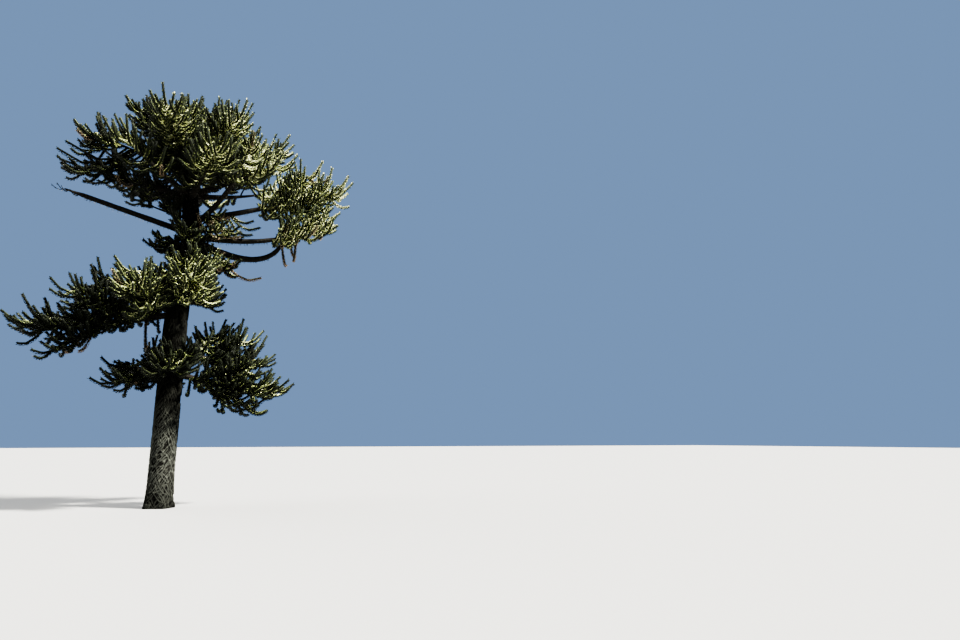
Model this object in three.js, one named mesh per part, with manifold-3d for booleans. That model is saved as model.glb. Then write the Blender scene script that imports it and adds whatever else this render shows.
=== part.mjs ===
// An old monkey puzzle tree, in millimetres, +Z up, with its origin at the middle of the flat cut under
// its trunk. +X is to the right and -Y towards the viewer. Bearings are in degrees, anticlockwise from +X
// as seen from above.
import * as THREE from "three";
import { mergeVertices } from "three/addons/utils/BufferGeometryUtils.js";
import Module from "manifold-3d";

const wasm = await Module();
wasm.setup();

// The trunk
const TRUNK_TOP = 14000; // where the trunk ends and the leading shoot goes on
const TRUNK_RADIUS = 400; // over the root flare
const TAPER_REACH = 14300; // the height at which the taper would come to a point
const TAPER_POWER = 3.6;
const TAPER_ROUND = 0.75;
const FLARE_SHARE = 0.34; // how much wider the foot is than the trunk
const FLARE_HEIGHT = 420; // the flare dies away over about this height
const FLARE_LOBES = 5;
const LOBE_SHARE = 0.3;
const LEAN = 0.018; // sideways run to the right for each unit of height
const BEND = 240; // the bow to the right below the crown
const BEND_HEIGHT = 9400;
const BEND_SPREAD = 1600;
const SWAY = 90; // the slow bow away from the viewer
const TRUNK_SIDES = 15;
const TRUNK_RINGS = 16;
const RING_CROWDING = 1.3; // above 1, the rings lie closer together at the foot

// The limbs
const GAP = 0.3; // between two solids that meet
const LIMB_STEPS = 24; // steps in which a limb's curve is worked out
const BOUGH_SIDES = 6;
const BOUGH_BANDS = 5;
const BEND_BANDS = 3; // of the part of a bough beyond its split
const COLLAR = 0.45; // extra width of a limb where it leaves the trunk
const COLLAR_LENGTH = 260;
const STEM_RADIUS = 60; // of a limb at the end of its stem, with its needles
const BEND_SPLIT = { hook_right: 0.7 }; // a bough that bends round a gap is two solids, split here

// The foliage: a mass is a flat stem with flat twigs, all with needle-clad shoots along both edges
const GOLDEN = 0.618034; // deals the shoots' rises evenly
const STEM_WIDTH = 0.85; // half a stem's width against its limb's radius
const SHOOT_PITCH = 260; // along a stem, from one shoot to the next
const SHOOT_OPEN = [74, 27]; // a shoot's angle off its stem, at the stem's foot and at its end
const OPEN_SPREAD = 3; // how far a shoot is from that, either way
const POISE_SPREAD = 24; // how far a shoot's rise is from its mass's own, either way
const SHOOT_LENGTHS = [0.82, 1.12]; // the shortest and the longest shoot against its mass's own
const SHORTER = [1, 0.8, 0.6, 0.42]; // a shoot that would leave its mass's space is tried shorter
const SHOOT_TESTS = [0.35, 0.7, 1]; // where along it that is tested
const TIP_WIDTH = 50; // half a shoot's width at its tip, a little wider than life to fill the crown
const SHOOT_THICK = 96;
const WEB = 0.1; // how far needles fill the notch between two shoots, as a share of their length
const WIDTH_POWER = 1.5; // above 1, a stem keeps its width and narrows late
const TWIG_PLACES = [0.1, 0.42, 0.26]; // where twigs leave a stem, as shares of its length
const TWIG_HANDS = [1, -1, 0.3]; // which way they turn off the stem, and how much
const TWIG_SIDES = [1, 1, -0.6]; // above 0 they rise off the stem, and below 0 they hang from it
const TWIG_SHARES = [0.72, 0.54, 0.4]; // a twig's length against the rest of its stem, tried in turn
const TWIG_TESTS = [0.4, 0.7, 1]; // where along it that is tested
const TWIG_RISES = [58, 22]; // how much steeper than its stem a twig is, at its foot and at its end
const STEEPEST = 80;
const TWIG_FOOT = 330; // of a twig, without shoots, which keeps them clear of the stem's
const FOOT_SHARE = 0.45; // the most of a twig that its foot takes
const TWIG_SHOOT = 0.9; // the length of a twig's shoots against its stem's
const TWIG_ROLL = 14; // how far a twig's sheet is turned about it
const TWIG_WIDTH = 44; // half its width at its foot
const TWIG_SEEDS = 8; // seeds kept for each mass, one for each twig
const SPREAD = 26; // the turn of a mass's twigs off its stem
const LEADER_SPREAD = 120; // of the twigs of the leading shoot
const CLEARANCE = 80; // from the middle of a shoot to a limb, or to the edge of its mass's space

// One row for each limb: its name, its height on the trunk, its bearing, its length to the end of its stem,
// its rise at the trunk and at its end in degrees, how late the rise changes, its turn in degrees, its
// thickness at the trunk, the share of it that is bare bough, how many twigs its mass has, and the length
// and the rise of its shoots.
const LIMB_FIELDS = [
  "name",
  "height",
  "bearing",
  "length",
  "riseFoot",
  "riseEnd",
  "late",
  "turn",
  "thick",
  "bare",
  "twigs",
  "shoot",
  "poise",
];
const LIMB_ROWS = [
  ["skirt_left", 11050, 176, 3300, 8, 14, 1.2, 4, 200, 0.36, 2, 1100, 6],
  ["skirt_front_left", 11050, 229, 3050, 12, 24, 1.2, -6, 190, 0.36, 2, 1100, 12],
  ["skirt_front", 10950, 281, 2950, 12, 22, 1.2, 5, 190, 0.36, 2, 1100, 12],
  ["skirt_front_right", 11100, 331, 3100, 14, 26, 1.2, 5, 190, 0.36, 2, 1100, 12],
  ["skirt_back_right", 11050, 24, 3250, 12, 24, 1.2, 6, 190, 0.36, 2, 1100, 12],
  ["skirt_back", 11050, 76, 3100, 12, 24, 1.2, 5, 190, 0.36, 2, 1100, 12],
  ["skirt_back_left", 10950, 127, 3100, 12, 24, 1.2, -5, 190, 0.36, 2, 1100, 12],
  ["shoulder_left", 11950, 186, 3300, 11, 20, 1.2, 0, 140, 0, 3, 980, 6],
  ["shoulder_front_left", 12200, 246, 2600, 17, 31, 1.2, 8, 130, 0, 2, 1050, 6],
  ["shoulder_front_right", 12050, 304, 2650, 20, 36, 1.2, -6, 130, 0, 2, 1050, 12],
  ["shoulder_right", 12250, 356, 2900, 15, 26, 1.2, 6, 130, 0, 2, 1050, 8],
  ["shoulder_back_right", 12050, 52, 2700, 20, 36, 1.2, 5, 130, 0, 2, 1050, 14],
  ["shoulder_back_left", 12200, 120, 2650, 18, 34, 1.2, -5, 130, 0, 2, 1050, 12],
  ["top_left", 13050, 176, 2000, 28, 36, 1, 0, 90, 0, 3, 800, 12],
  ["top_front", 13100, 262, 1500, 18, 28, 1, 0, 90, 0, 2, 750, 4],
  ["top_right", 13100, 352, 1700, 36, 48, 1, 0, 90, 0, 2, 800, 20],
  ["top_back", 13100, 80, 1550, 34, 46, 1, 0, 90, 0, 2, 800, 18],
  ["reach_right", 10150, 353, 5150, 15, 26, 1.7, 2, 200, 0.48, 3, 1050, 10],
  ["drip_right", 9560, 343, 4700, -7, 36, 1.6, 12, 200, 0.58, 2, 1000, 4],
  ["hook_right", 9420, 12, 3950, -17, 88, 2.6, -4, 220, 0.86, 0, 900, 6],
  ["rise_right", 9900, 312, 3800, 26, 78, 1.2, 8, 190, 0.64, 0, 950, 14],
  ["bare_left", 9640, 184, 4200, 14, 15, 1, -3, 190, 0.86, 0, 420, 4],
  ["low_tuft_left", 10200, 166, 1500, 12, 20, 1, 8, 100, 0, 1, 800, 12],
  ["tuft_left", 9100, 196, 900, -4, 4, 1, 0, 80, 0, 1, 700, 4],
  ["tuft_front", 9250, 262, 1100, 0, 10, 1, 0, 80, 0, 2, 850, -6],
  ["tuft_right", 8850, 334, 1500, -10, -6, 1, 4, 90, 0, 1, 900, -14],
  ["hanging_tuft", 9700, 298, 1500, 8, -6, 1, 16, 80, 0, 1, 950, -16],
  ["tuft_back", 9000, 92, 1100, 4, 16, 1, 0, 80, 0, 1, 850, 8],
  ["mid_left_low", 6700, 188, 4100, -18, 8, 1.4, -5, 190, 0.34, 3, 1150, 6],
  ["mid_left_high", 7050, 170, 3500, -14, -3, 1.5, 6, 170, 0.18, 3, 1050, -4],
  ["mid_front_left", 7350, 236, 2500, -8, 4, 1, 6, 120, 0, 3, 1100, 4],
  ["mid_front", 7750, 276, 2200, -8, 4, 1, 0, 120, 0, 3, 1100, 0],
  ["mid_right", 7900, 340, 850, 0, 10, 1, 0, 110, 0, 1, 780, 6],
  ["mid_back_right", 7400, 60, 1700, 0, 14, 1, 0, 110, 0, 1, 1000, 12],
  ["mid_back_left", 7250, 114, 2500, -4, 12, 1, 0, 120, 0, 2, 1100, 12],
  ["low_right", 4550, 344, 3100, -12, 2, 1.3, 10, 180, 0.2, 3, 1100, 4],
  ["low_right_back", 5200, 32, 3150, 0, 10, 1.3, -6, 170, 0.24, 2, 1150, 12],
  ["low_left", 4500, 202, 1500, 0, -8, 1, -6, 120, 0, 2, 1050, -6],
  ["low_front", 4750, 268, 1500, 4, 0, 1, 0, 110, 0, 1, 1000, -6],
  ["low_back", 4850, 115, 2200, 0, 8, 1, 0, 120, 0, 2, 1050, 4],
  ["leader", TRUNK_TOP, 20, 260, 90, 80, 1, 0, 66, 0, 1, 460, 0],
];

const LOOKS = {
  bark: { color: 0x6b6458, roughness: 0.95, metalness: 0 },
  foliage: { color: 0x3f4a22, roughness: 0.75, metalness: 0 },
  dry: { color: 0x5a4a36, roughness: 0.95, metalness: 0 },
};

const mix = (a, b, t) => a + (b - a) * t;
const radians = THREE.MathUtils.degToRad;

// A number from 0 to 1 that is always the same for the same three counts.
function chance(seed, count, channel) {
  const wave = Math.sin(seed * 12.9898 + count * 78.233 + channel * 37.719) * 43758.5453;
  return wave - Math.floor(wave);
}

// A direction from its bearing and its rise, in degrees.
function heading(bearing, rise) {
  const flat = Math.cos(radians(rise));
  const turn = radians(bearing);
  return new THREE.Vector3(flat * Math.cos(turn), flat * Math.sin(turn), Math.sin(radians(rise)));
}

// The middle of the trunk at a height.
function trunkAxis(z) {
  const bow = BEND * Math.exp(-(((z - BEND_HEIGHT) / BEND_SPREAD) ** 2));
  const bowAtFoot = BEND * Math.exp(-((BEND_HEIGHT / BEND_SPREAD) ** 2));
  return new THREE.Vector3(LEAN * z + bow - bowAtFoot, SWAY * Math.sin((Math.PI * z) / TRUNK_TOP), z);
}

// The trunk's radius at a height, without the root flare.
function trunkRadius(z) {
  return TRUNK_RADIUS * (1 - (z / TAPER_REACH) ** TAPER_POWER) ** TAPER_ROUND;
}

// A closed solid from a three.js geometry.
function solid(geometry) {
  geometry.deleteAttribute("normal");
  geometry.deleteAttribute("uv");
  const merged = mergeVertices(geometry, 1e-3);
  return new wasm.Manifold(
    new wasm.Mesh({
      numProp: 3,
      vertProperties: new Float32Array(merged.attributes.position.array),
      triVerts: new Uint32Array(merged.index.array),
    }),
  );
}

// The trunk: level rings round its leaning axis, closer together at the foot, with the root flare's lobes.
function trunk(extra = 0) {
  const geometry = new THREE.CylinderGeometry(1, 1, 1, TRUNK_SIDES, TRUNK_RINGS);
  const position = geometry.attributes.position;
  for (let i = 0; i < position.count; i++) {
    const z = TRUNK_TOP * (position.getY(i) + 0.5) ** RING_CROWDING;
    const angle = Math.atan2(position.getX(i), -position.getZ(i));
    const lobes = 1 - LOBE_SHARE + LOBE_SHARE * Math.cos(FLARE_LOBES * angle);
    const flare = 1 + FLARE_SHARE * lobes * Math.exp(-z / FLARE_HEIGHT);
    const radius = trunkRadius(z) * flare + extra;
    const middle = trunkAxis(z);
    position.setXYZ(i, middle.x + radius * position.getX(i), middle.y - radius * position.getZ(i), z);
  }
  return solid(geometry);
}

// A limb's curve: its rise and bearing change along it. Returns where it is at a distance along it, which
// way it runs and which way is level to its left. Past its end it runs on straight.
function limbCurve(limb, start) {
  const step = limb.length / LIMB_STEPS;
  const bearingAt = (share) => limb.bearing + limb.turn * share;
  const runs = (share) => heading(bearingAt(share), mix(limb.riseFoot, limb.riseEnd, share ** limb.late));
  const points = [start];
  for (let i = 0; i < LIMB_STEPS; i++) {
    points.push(points[i].clone().addScaledVector(runs((i + 0.5) / LIMB_STEPS), step));
  }
  return (distance) => {
    const place = Math.min(Math.max(distance / step, 0), LIMB_STEPS);
    const i = Math.min(Math.floor(place), LIMB_STEPS - 1);
    const direction = runs(place / LIMB_STEPS);
    const point = points[i].clone().lerp(points[i + 1], place - i);
    point.addScaledVector(direction, Math.max(distance - limb.length, 0));
    return { point, direction, level: heading(bearingAt(place / LIMB_STEPS) + 90, 0) };
  };
}

// A limb's radius at a distance along it, with the collar at the trunk.
function limbRadius(limb, distance) {
  const share = Math.min(distance / limb.length, 1);
  return mix(limb.thick / 2, STEM_RADIUS, share) * (1 + COLLAR * Math.exp(-distance / COLLAR_LENGTH));
}

// The rings of a round limb: evenly spaced places along its curve, each with the limb's radius there.
function ringsAlong(limb, curve, from, to, bands) {
  return Array.from({ length: bands + 1 }, (_, i) => {
    const distance = mix(from, to, i / bands);
    return { ...curve(distance), radius: limbRadius(limb, distance) };
  });
}

// A round limb: a cylinder whose rings are carried along its curve.
function tube(rings) {
  const bands = rings.length - 1;
  const geometry = new THREE.CylinderGeometry(1, 1, 1, BOUGH_SIDES, bands);
  const position = geometry.attributes.position;
  for (let i = 0; i < position.count; i++) {
    const { point, direction, level, radius } = rings[Math.round((position.getY(i) + 0.5) * bands)];
    const under = new THREE.Vector3().crossVectors(level, direction);
    const spot = point.clone().addScaledVector(level, radius * position.getX(i));
    spot.addScaledVector(under, radius * position.getZ(i));
    position.setXYZ(i, spot.x, spot.y, spot.z);
  }
  return solid(geometry);
}

// The straight stretches between a limb's rings, with the larger radius of their two ends.
function stretches(rings) {
  return rings.slice(1).map((ring, i) => {
    const radius = Math.max(rings[i].radius, ring.radius);
    return { line: new THREE.Line3(rings[i].point, ring.point), radius };
  });
}

// How far a point is from a stretch's middle.
function distanceTo(point, { line }) {
  return line.closestPointToPoint(point, true, new THREE.Vector3()).distanceTo(point);
}

// A place on a stem's or twig's sheet: along its curve, across it to the left, and risen off the sheet.
function placeOn(twig, along, across, rise) {
  const { point, direction, level } = twig.curve(along);
  const left = level.clone().applyAxisAngle(direction, radians(twig.roll));
  const over = new THREE.Vector3().crossVectors(direction, left);
  return point.clone().addScaledVector(left, across).addScaledVector(over, rise);
}

// Half a twig's width at a distance along it, without its web.
function halfWidth(twig, along) {
  const share = Math.min((along - twig.start) / (twig.end - twig.start), 1);
  return mix(twig.width, TIP_WIDTH, share ** WIDTH_POWER);
}

// The shoot with one count along one edge of a twig: its foot, the notches beside it, and its tip.
function sideShoot(twig, seed, hand, count, shoots, shorter) {
  const share = (count + 0.5) / shoots;
  const draw = 2 * count + (hand > 0 ? 1 : 0);
  const foot = mix(twig.open, twig.end, share);
  const open = radians(mix(...SHOOT_OPEN, share) + OPEN_SPREAD * (2 * chance(seed, draw, 1) - 1));
  const dealt = (draw * GOLDEN + chance(seed, 0, 2)) % 1;
  const rise = radians(twig.poise + POISE_SPREAD * (2 * dealt - 1));
  const length = twig.shoot * mix(...SHOOT_LENGTHS, chance(seed, draw, 3)) * shorter;
  return {
    hand,
    open,
    foot,
    notches: [mix(twig.open, twig.end, count / shoots), mix(twig.open, twig.end, (count + 1) / shoots)],
    along: foot + length * Math.cos(rise) * Math.cos(open),
    across: hand * (halfWidth(twig, foot) + length * Math.cos(rise) * Math.sin(open)),
    rise: length * Math.sin(rise),
  };
}

// The shoot that carries a twig on from its end.
function endShoot(twig, shorter) {
  return { hand: 0, open: 0, foot: twig.end, along: twig.end + twig.shoot * shorter, across: 0, rise: 0 };
}

// True where a point is in its own mass's space, nearer its stem than any other, and clear of the wood.
function free(point, mass) {
  const own = Math.min(...mass.stem.map((s) => distanceTo(point, s)));
  const apart = masses.every((other) => {
    return other === mass || other.stem.every((s) => distanceTo(point, s) - own > 2 * CLEARANCE);
  });
  return apart && wood.every((s) => distanceTo(point, s) > s.radius + CLEARANCE);
}

// True where a shoot is in its mass's space.
function fits(twig, shoot, mass) {
  const foot = placeOn(twig, shoot.foot, 0, 0);
  const tip = placeOn(twig, shoot.along, shoot.across, shoot.rise);
  return SHOOT_TESTS.every((t) => free(foot.clone().lerp(tip, t), mass));
}

// A twig's shoots: those that fit at some length, along one edge and then the other, and the one at its end.
function shootsOf(twig, seed, mass) {
  const longest = (make) => SHORTER.map(make).find((shoot) => fits(twig, shoot, mass));
  const count = Math.max(2, Math.round((twig.end - twig.open) / SHOOT_PITCH));
  const shoots = [longest((shorter) => endShoot(twig, shorter))];
  for (const hand of [1, -1]) {
    for (let i = 0; i < count; i++) {
      shoots.push(longest((shorter) => sideShoot(twig, seed, hand, i, count, shorter)));
    }
  }
  return shoots.filter((shoot) => shoot);
}

// The blunt tip of a shoot: two corners, with the shoot's rise.
function tipOf({ along, across, open, hand, rise }) {
  const back = TIP_WIDTH * Math.sin(open);
  const out = (hand || 1) * TIP_WIDTH * Math.cos(open);
  return [
    { along: along - back, across: across + out, rise },
    { along: along + back, across: across - out, rise },
  ];
}

// One toothed edge of a twig, from its foot to its end.
function edgeOf(twig, shoots, hand) {
  const notch = (along) => {
    return { along, across: hand * (halfWidth(twig, along) + WEB * twig.shoot), rise: 0 };
  };
  const teeth = shoots.filter((shoot) => shoot.hand === hand);
  const corners = teeth.flatMap((shoot) => {
    const [before, after] = shoot.notches.map(notch);
    return [before, ...tipOf(shoot), after];
  });
  const foot = { along: twig.start, across: hand * twig.width, rise: 0 };
  const end = { along: twig.end, across: hand * TIP_WIDTH, rise: 0 };
  return [foot, ...corners.filter(({ along }, i) => !i || along !== corners[i - 1].along), end];
}

// A twig's solid: its toothed outline, one blunt tooth for each shoot, made thick and bent along its curve.
function comb(twig, shoots) {
  const last = shoots.filter((shoot) => shoot.hand === 0).flatMap(tipOf);
  const outline = [...edgeOf(twig, shoots, 1), ...last, ...edgeOf(twig, shoots, -1).reverse()];
  const shape = new THREE.Shape(outline.map(({ along, across }) => new THREE.Vector2(along, across)));
  const geometry = new THREE.ExtrudeGeometry(shape, { depth: 1, bevelEnabled: false });
  const position = geometry.attributes.position;
  for (let i = 0; i < position.count; i++) {
    const [x, y, layer] = [position.getX(i), position.getY(i), position.getZ(i) - 0.5];
    const corner = outline.find(({ along, across }) => Math.hypot(along - x, across - y) < 0.01);
    const spot = placeOn(twig, corner.along, corner.across, corner.rise + layer * SHOOT_THICK);
    position.setXYZ(i, spot.x, spot.y, spot.z);
  }
  return solid(geometry);
}

// A twig with one count on a mass's stem, at the first length that keeps it in the mass's space.
function twigOn(mass, stem, i) {
  const place = mix(stem.open, stem.end, TWIG_PLACES[i]);
  const share = place / mass.length;
  const rise = mix(mass.riseFoot, mass.riseEnd, share ** mass.late);
  const [riseFoot, riseEnd] = TWIG_RISES.map((more) => Math.min(rise + TWIG_SIDES[i] * more, STEEPEST));
  const bearing = mass.bearing + mass.turn * share + TWIG_HANDS[i] * mass.spread;
  const start = mass.curve(place).point;
  const made = TWIG_SHARES.map((part) => {
    const length = Math.max((stem.end - place) * part, mass.shoot * part);
    return { length, curve: limbCurve({ bearing, length, riseFoot, riseEnd, late: 1, turn: 0 }, start) };
  });
  const inside = ({ length, curve }) => TWIG_TESTS.every((t) => free(curve(t * length).point, mass));
  const fit = made.find(inside);
  return fit && {
    curve: fit.curve,
    start: 0,
    open: Math.min(TWIG_FOOT, FOOT_SHARE * fit.length),
    end: fit.length,
    width: TWIG_WIDTH,
    roll: TWIG_HANDS[i] * TWIG_ROLL,
    shoot: mass.shoot * TWIG_SHOOT,
    poise: mass.poise,
  };
}

// A mass's stem and the twigs on it that fit, each with its curve. Their sheets bend with them.
function twigsOf(mass) {
  const { curve, start, open, end, width, shoot, poise } = mass;
  const stem = { curve, start, open, end, width, shoot, poise, roll: 0 };
  const twigs = Array.from({ length: mass.twigs }, (_, i) => twigOn(mass, stem, i));
  return [stem, ...twigs.filter((twig) => twig)];
}

// A limb's boughs, as rings from the trunk to where its mass begins: one, or two where it is split.
function boughsOf(limb, curve) {
  const name = `bough_${limb.name}`;
  const bare = limb.length * limb.bare;
  const bend = bare * (BEND_SPLIT[limb.name] ?? 1);
  if (!bare) return [];
  const first = { name, from: 0, rings: ringsAlong(limb, curve, 0, bend, BOUGH_BANDS) };
  if (bend === bare) return [first];
  const from = bend + GAP;
  return [first, { name: `${name}_bend`, from, rings: ringsAlong(limb, curve, from, bare, BEND_BANDS) }];
}

// A limb's mass: where its stem starts, where its shoots start, and the stretches that its space lies round.
function massOf(limb, curve) {
  const seated = !limb.bare && limb.height < TRUNK_TOP;
  const start = limb.bare ? limb.length * limb.bare + GAP : 0;
  return {
    ...limb,
    name: `foliage_${limb.name}`,
    seated,
    curve,
    start,
    open: seated ? trunkRadius(limb.height) + CLEARANCE : start + TIP_WIDTH,
    end: limb.length,
    width: STEM_WIDTH * limbRadius(limb, start),
    spread: limb.height < TRUNK_TOP ? SPREAD : LEADER_SPREAD,
    stem: stretches(ringsAlong(limb, curve, start, limb.length, BEND_BANDS)),
  };
}

// The limbs, with their boughs and masses, worked out before any solid is made.
const limbs = LIMB_ROWS.map((row) => {
  const limb = Object.fromEntries(row.map((value, i) => [LIMB_FIELDS[i], value]));
  const foot = trunkAxis(limb.height < TRUNK_TOP ? limb.height : TRUNK_TOP + GAP);
  return { limb, curve: limbCurve(limb, foot) };
});
const boughs = limbs.flatMap(({ limb, curve }) => boughsOf(limb, curve));
const masses = limbs.map(({ limb, curve }) => massOf(limb, curve));
const trunkRings = Array.from({ length: LIMB_STEPS + 1 }, (_, i) => {
  const z = (TRUNK_TOP * i) / LIMB_STEPS;
  return { point: trunkAxis(z), radius: trunkRadius(z) };
});
const wood = [trunkRings, ...boughs.map(({ rings }) => rings)].flatMap(stretches);

// The largest closed body of a fused solid, with any sealed hollow filled.
function whole(fused) {
  return fused.decompose().reduce((best, body) => (body.volume() > best.volume() ? body : best));
}

// A mass's solid: its stem, fused with its twigs, and seated round the trunk where it starts there.
function foliage(mass, count, grownTrunk) {
  const combs = twigsOf(mass).map((twig, i) => comb(twig, shootsOf(twig, TWIG_SEEDS * count + i, mass)));
  const made = combs.reduce((all, next) => all.add(next));
  return whole(mass.seated ? made.subtract(grownTrunk) : made);
}

// A bough's solid, seated round the trunk where it starts there.
function bough({ rings, from }, grownTrunk) {
  const made = tube(rings);
  return from ? made : whole(made.subtract(grownTrunk));
}

// A named mesh from a solid.
function mesh(name, made, look) {
  const { vertProperties, triVerts } = made.getMesh();
  const geometry = new THREE.BufferGeometry();
  geometry.setAttribute("position", new THREE.BufferAttribute(vertProperties, 3));
  geometry.setIndex(new THREE.BufferAttribute(triVerts, 1));
  geometry.computeVertexNormals();
  const shown = new THREE.Mesh(geometry, new THREE.MeshStandardMaterial(LOOKS[look]));
  shown.name = name;
  return shown;
}

const tree = new THREE.Group();
const grownTrunk = trunk(GAP);
tree.add(mesh("trunk", trunk(), "bark"));
boughs.forEach((b) => tree.add(mesh(b.name, bough(b, grownTrunk), "bark")));
masses.forEach((mass, i) => {
  tree.add(mesh(mass.name, foliage(mass, i + 1, grownTrunk), mass.name.includes("bare") ? "dry" : "foliage"));
});

export default tree;
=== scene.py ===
"""The looks of an old monkey puzzle tree: ridged bark, boughs, twigs and needle-clad shoots on its solids.

All sizes are in metres. Angles are in degrees, except where radians are named and in the stage's settings.
+Z is up, -Y is towards the viewer and +X is to their right. Bearings run anticlockwise from +X.
"""

import math
from collections import namedtuple
from functools import cache, partial

import bpy
import numpy as np
from bpy.props import FloatProperty, FloatVectorProperty, IntProperty, PointerProperty
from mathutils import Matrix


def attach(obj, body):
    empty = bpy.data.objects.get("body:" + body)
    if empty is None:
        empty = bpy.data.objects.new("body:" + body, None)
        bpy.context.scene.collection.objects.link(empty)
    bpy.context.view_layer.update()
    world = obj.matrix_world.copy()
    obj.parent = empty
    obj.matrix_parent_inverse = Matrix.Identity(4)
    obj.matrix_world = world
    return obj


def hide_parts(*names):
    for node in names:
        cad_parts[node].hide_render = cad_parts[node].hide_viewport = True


bl_info = {
    "name": "Monkey puzzle tree",
    "version": (1, 0, 0),
    "blender": (4, 5, 0),
    "location": "View3D > Sidebar > Tree",
    "description": "Grows the bark, boughs, twigs and needles of an old monkey puzzle tree",
    "category": "Add Mesh",
}

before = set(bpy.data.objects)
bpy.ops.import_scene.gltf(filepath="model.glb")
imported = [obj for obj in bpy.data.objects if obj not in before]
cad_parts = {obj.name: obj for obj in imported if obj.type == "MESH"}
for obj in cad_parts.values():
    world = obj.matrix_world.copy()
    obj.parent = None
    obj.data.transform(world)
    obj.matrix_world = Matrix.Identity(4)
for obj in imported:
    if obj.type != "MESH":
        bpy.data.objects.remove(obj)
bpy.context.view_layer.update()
BOUGH_NODES = [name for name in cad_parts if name.startswith("bough_")]
FOLIAGE_NODES = [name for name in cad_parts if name.startswith("foliage_")]

# The waves of a seed, a count and a channel that a chance is worked out from, and their scale
CHANCE_WAVES = (12.9898, 78.233, 37.719)
CHANCE_SCALE = 43758.5453

# The trunk
TRUNK_TOP = 14.0
TRUNK_RADIUS = 0.4  # over the root flare
TAPER_REACH = 14.3  # the height at which the taper would come to a point
TAPER_POWER = 3.6
TAPER_ROUND = 0.75
FLARE_SHARE = 0.34  # how much wider the foot is than the trunk
FLARE_HEIGHT = 0.42
FLARE_LOBES = 5
LOBE_SHARE = 0.3
LEAN = 0.018  # sideways run to the right for each metre of height
BEND = 0.24  # the bow to the right below the crown
BEND_HEIGHT = 9.4
BEND_SPREAD = 1.6
SWAY = 0.09  # the slow bow away from the viewer

# The limbs
GAP = 0.0003  # between a bough's solid and the next one along the limb
LIMB_STEPS = 24
BEND_BANDS = 3
BOUGH_BANDS = 5
COLLAR = 0.45  # how much thicker a bough is where it meets the trunk
COLLAR_LENGTH = 0.26
STEM_RADIUS = 0.06
BEND_SPLIT = {"hook_right": 0.7}  # the share of its bare run at which a hooked bough is parted in two

# The shoots on each stem and twig
GOLDEN = 0.618034
STEM_WIDTH = 0.85
SHOOT_PITCH = 0.26
LEAST_SHOOTS = 2
HALF_UP = 1e-9  # added to a number of shoots, so that a half is rounded up
SHOOT_OPEN = (74, 27)
OPEN_SPREAD = 3
POISE_SPREAD = 24
SHOOT_LENGTHS = (0.82, 1.12)
SHORTER = np.array([1, 0.8, 0.6, 0.42])  # the shares of its length that a shoot tries in turn
SHOOT_TESTS = np.array([0.35, 0.7, 1])
TIP_WIDTH = 0.05
WIDTH_POWER = 1.5
TWIG_PLACES = (0.1, 0.42, 0.26)
TWIG_HANDS = (1, -1, 0.3)
TWIG_SIDES = (1, 1, -0.6)
TWIG_SHARES = (0.72, 0.54, 0.4)
TWIG_TESTS = np.array([0.4, 0.7, 1])
TWIG_RISES = (58, 22)
STEEPEST = 80
TWIG_FOOT = 0.33
FOOT_SHARE = 0.45
TWIG_SHOOT = 0.9
TWIG_ROLL = 14
TWIG_WIDTH = 0.044
TWIG_SEEDS = 8
SPREAD = 26
LEADER_SPREAD = 120
CLEARANCE = 0.08
STEEP = 0.9  # how far up a unit run goes when its sideways directions are taken from +X instead of +Z

# The seeds of shoots: a twig's seed times a step, plus a kind's step or the end shoot's, or a sprig's on top
TWIG_SEED_STEP = 1000
KIND_SEED_STEP = 100
END_SEED = 999
SPRIG_SEED = 30
REACHING_SEED = 900000
CURLED_SEED = 950000

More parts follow.
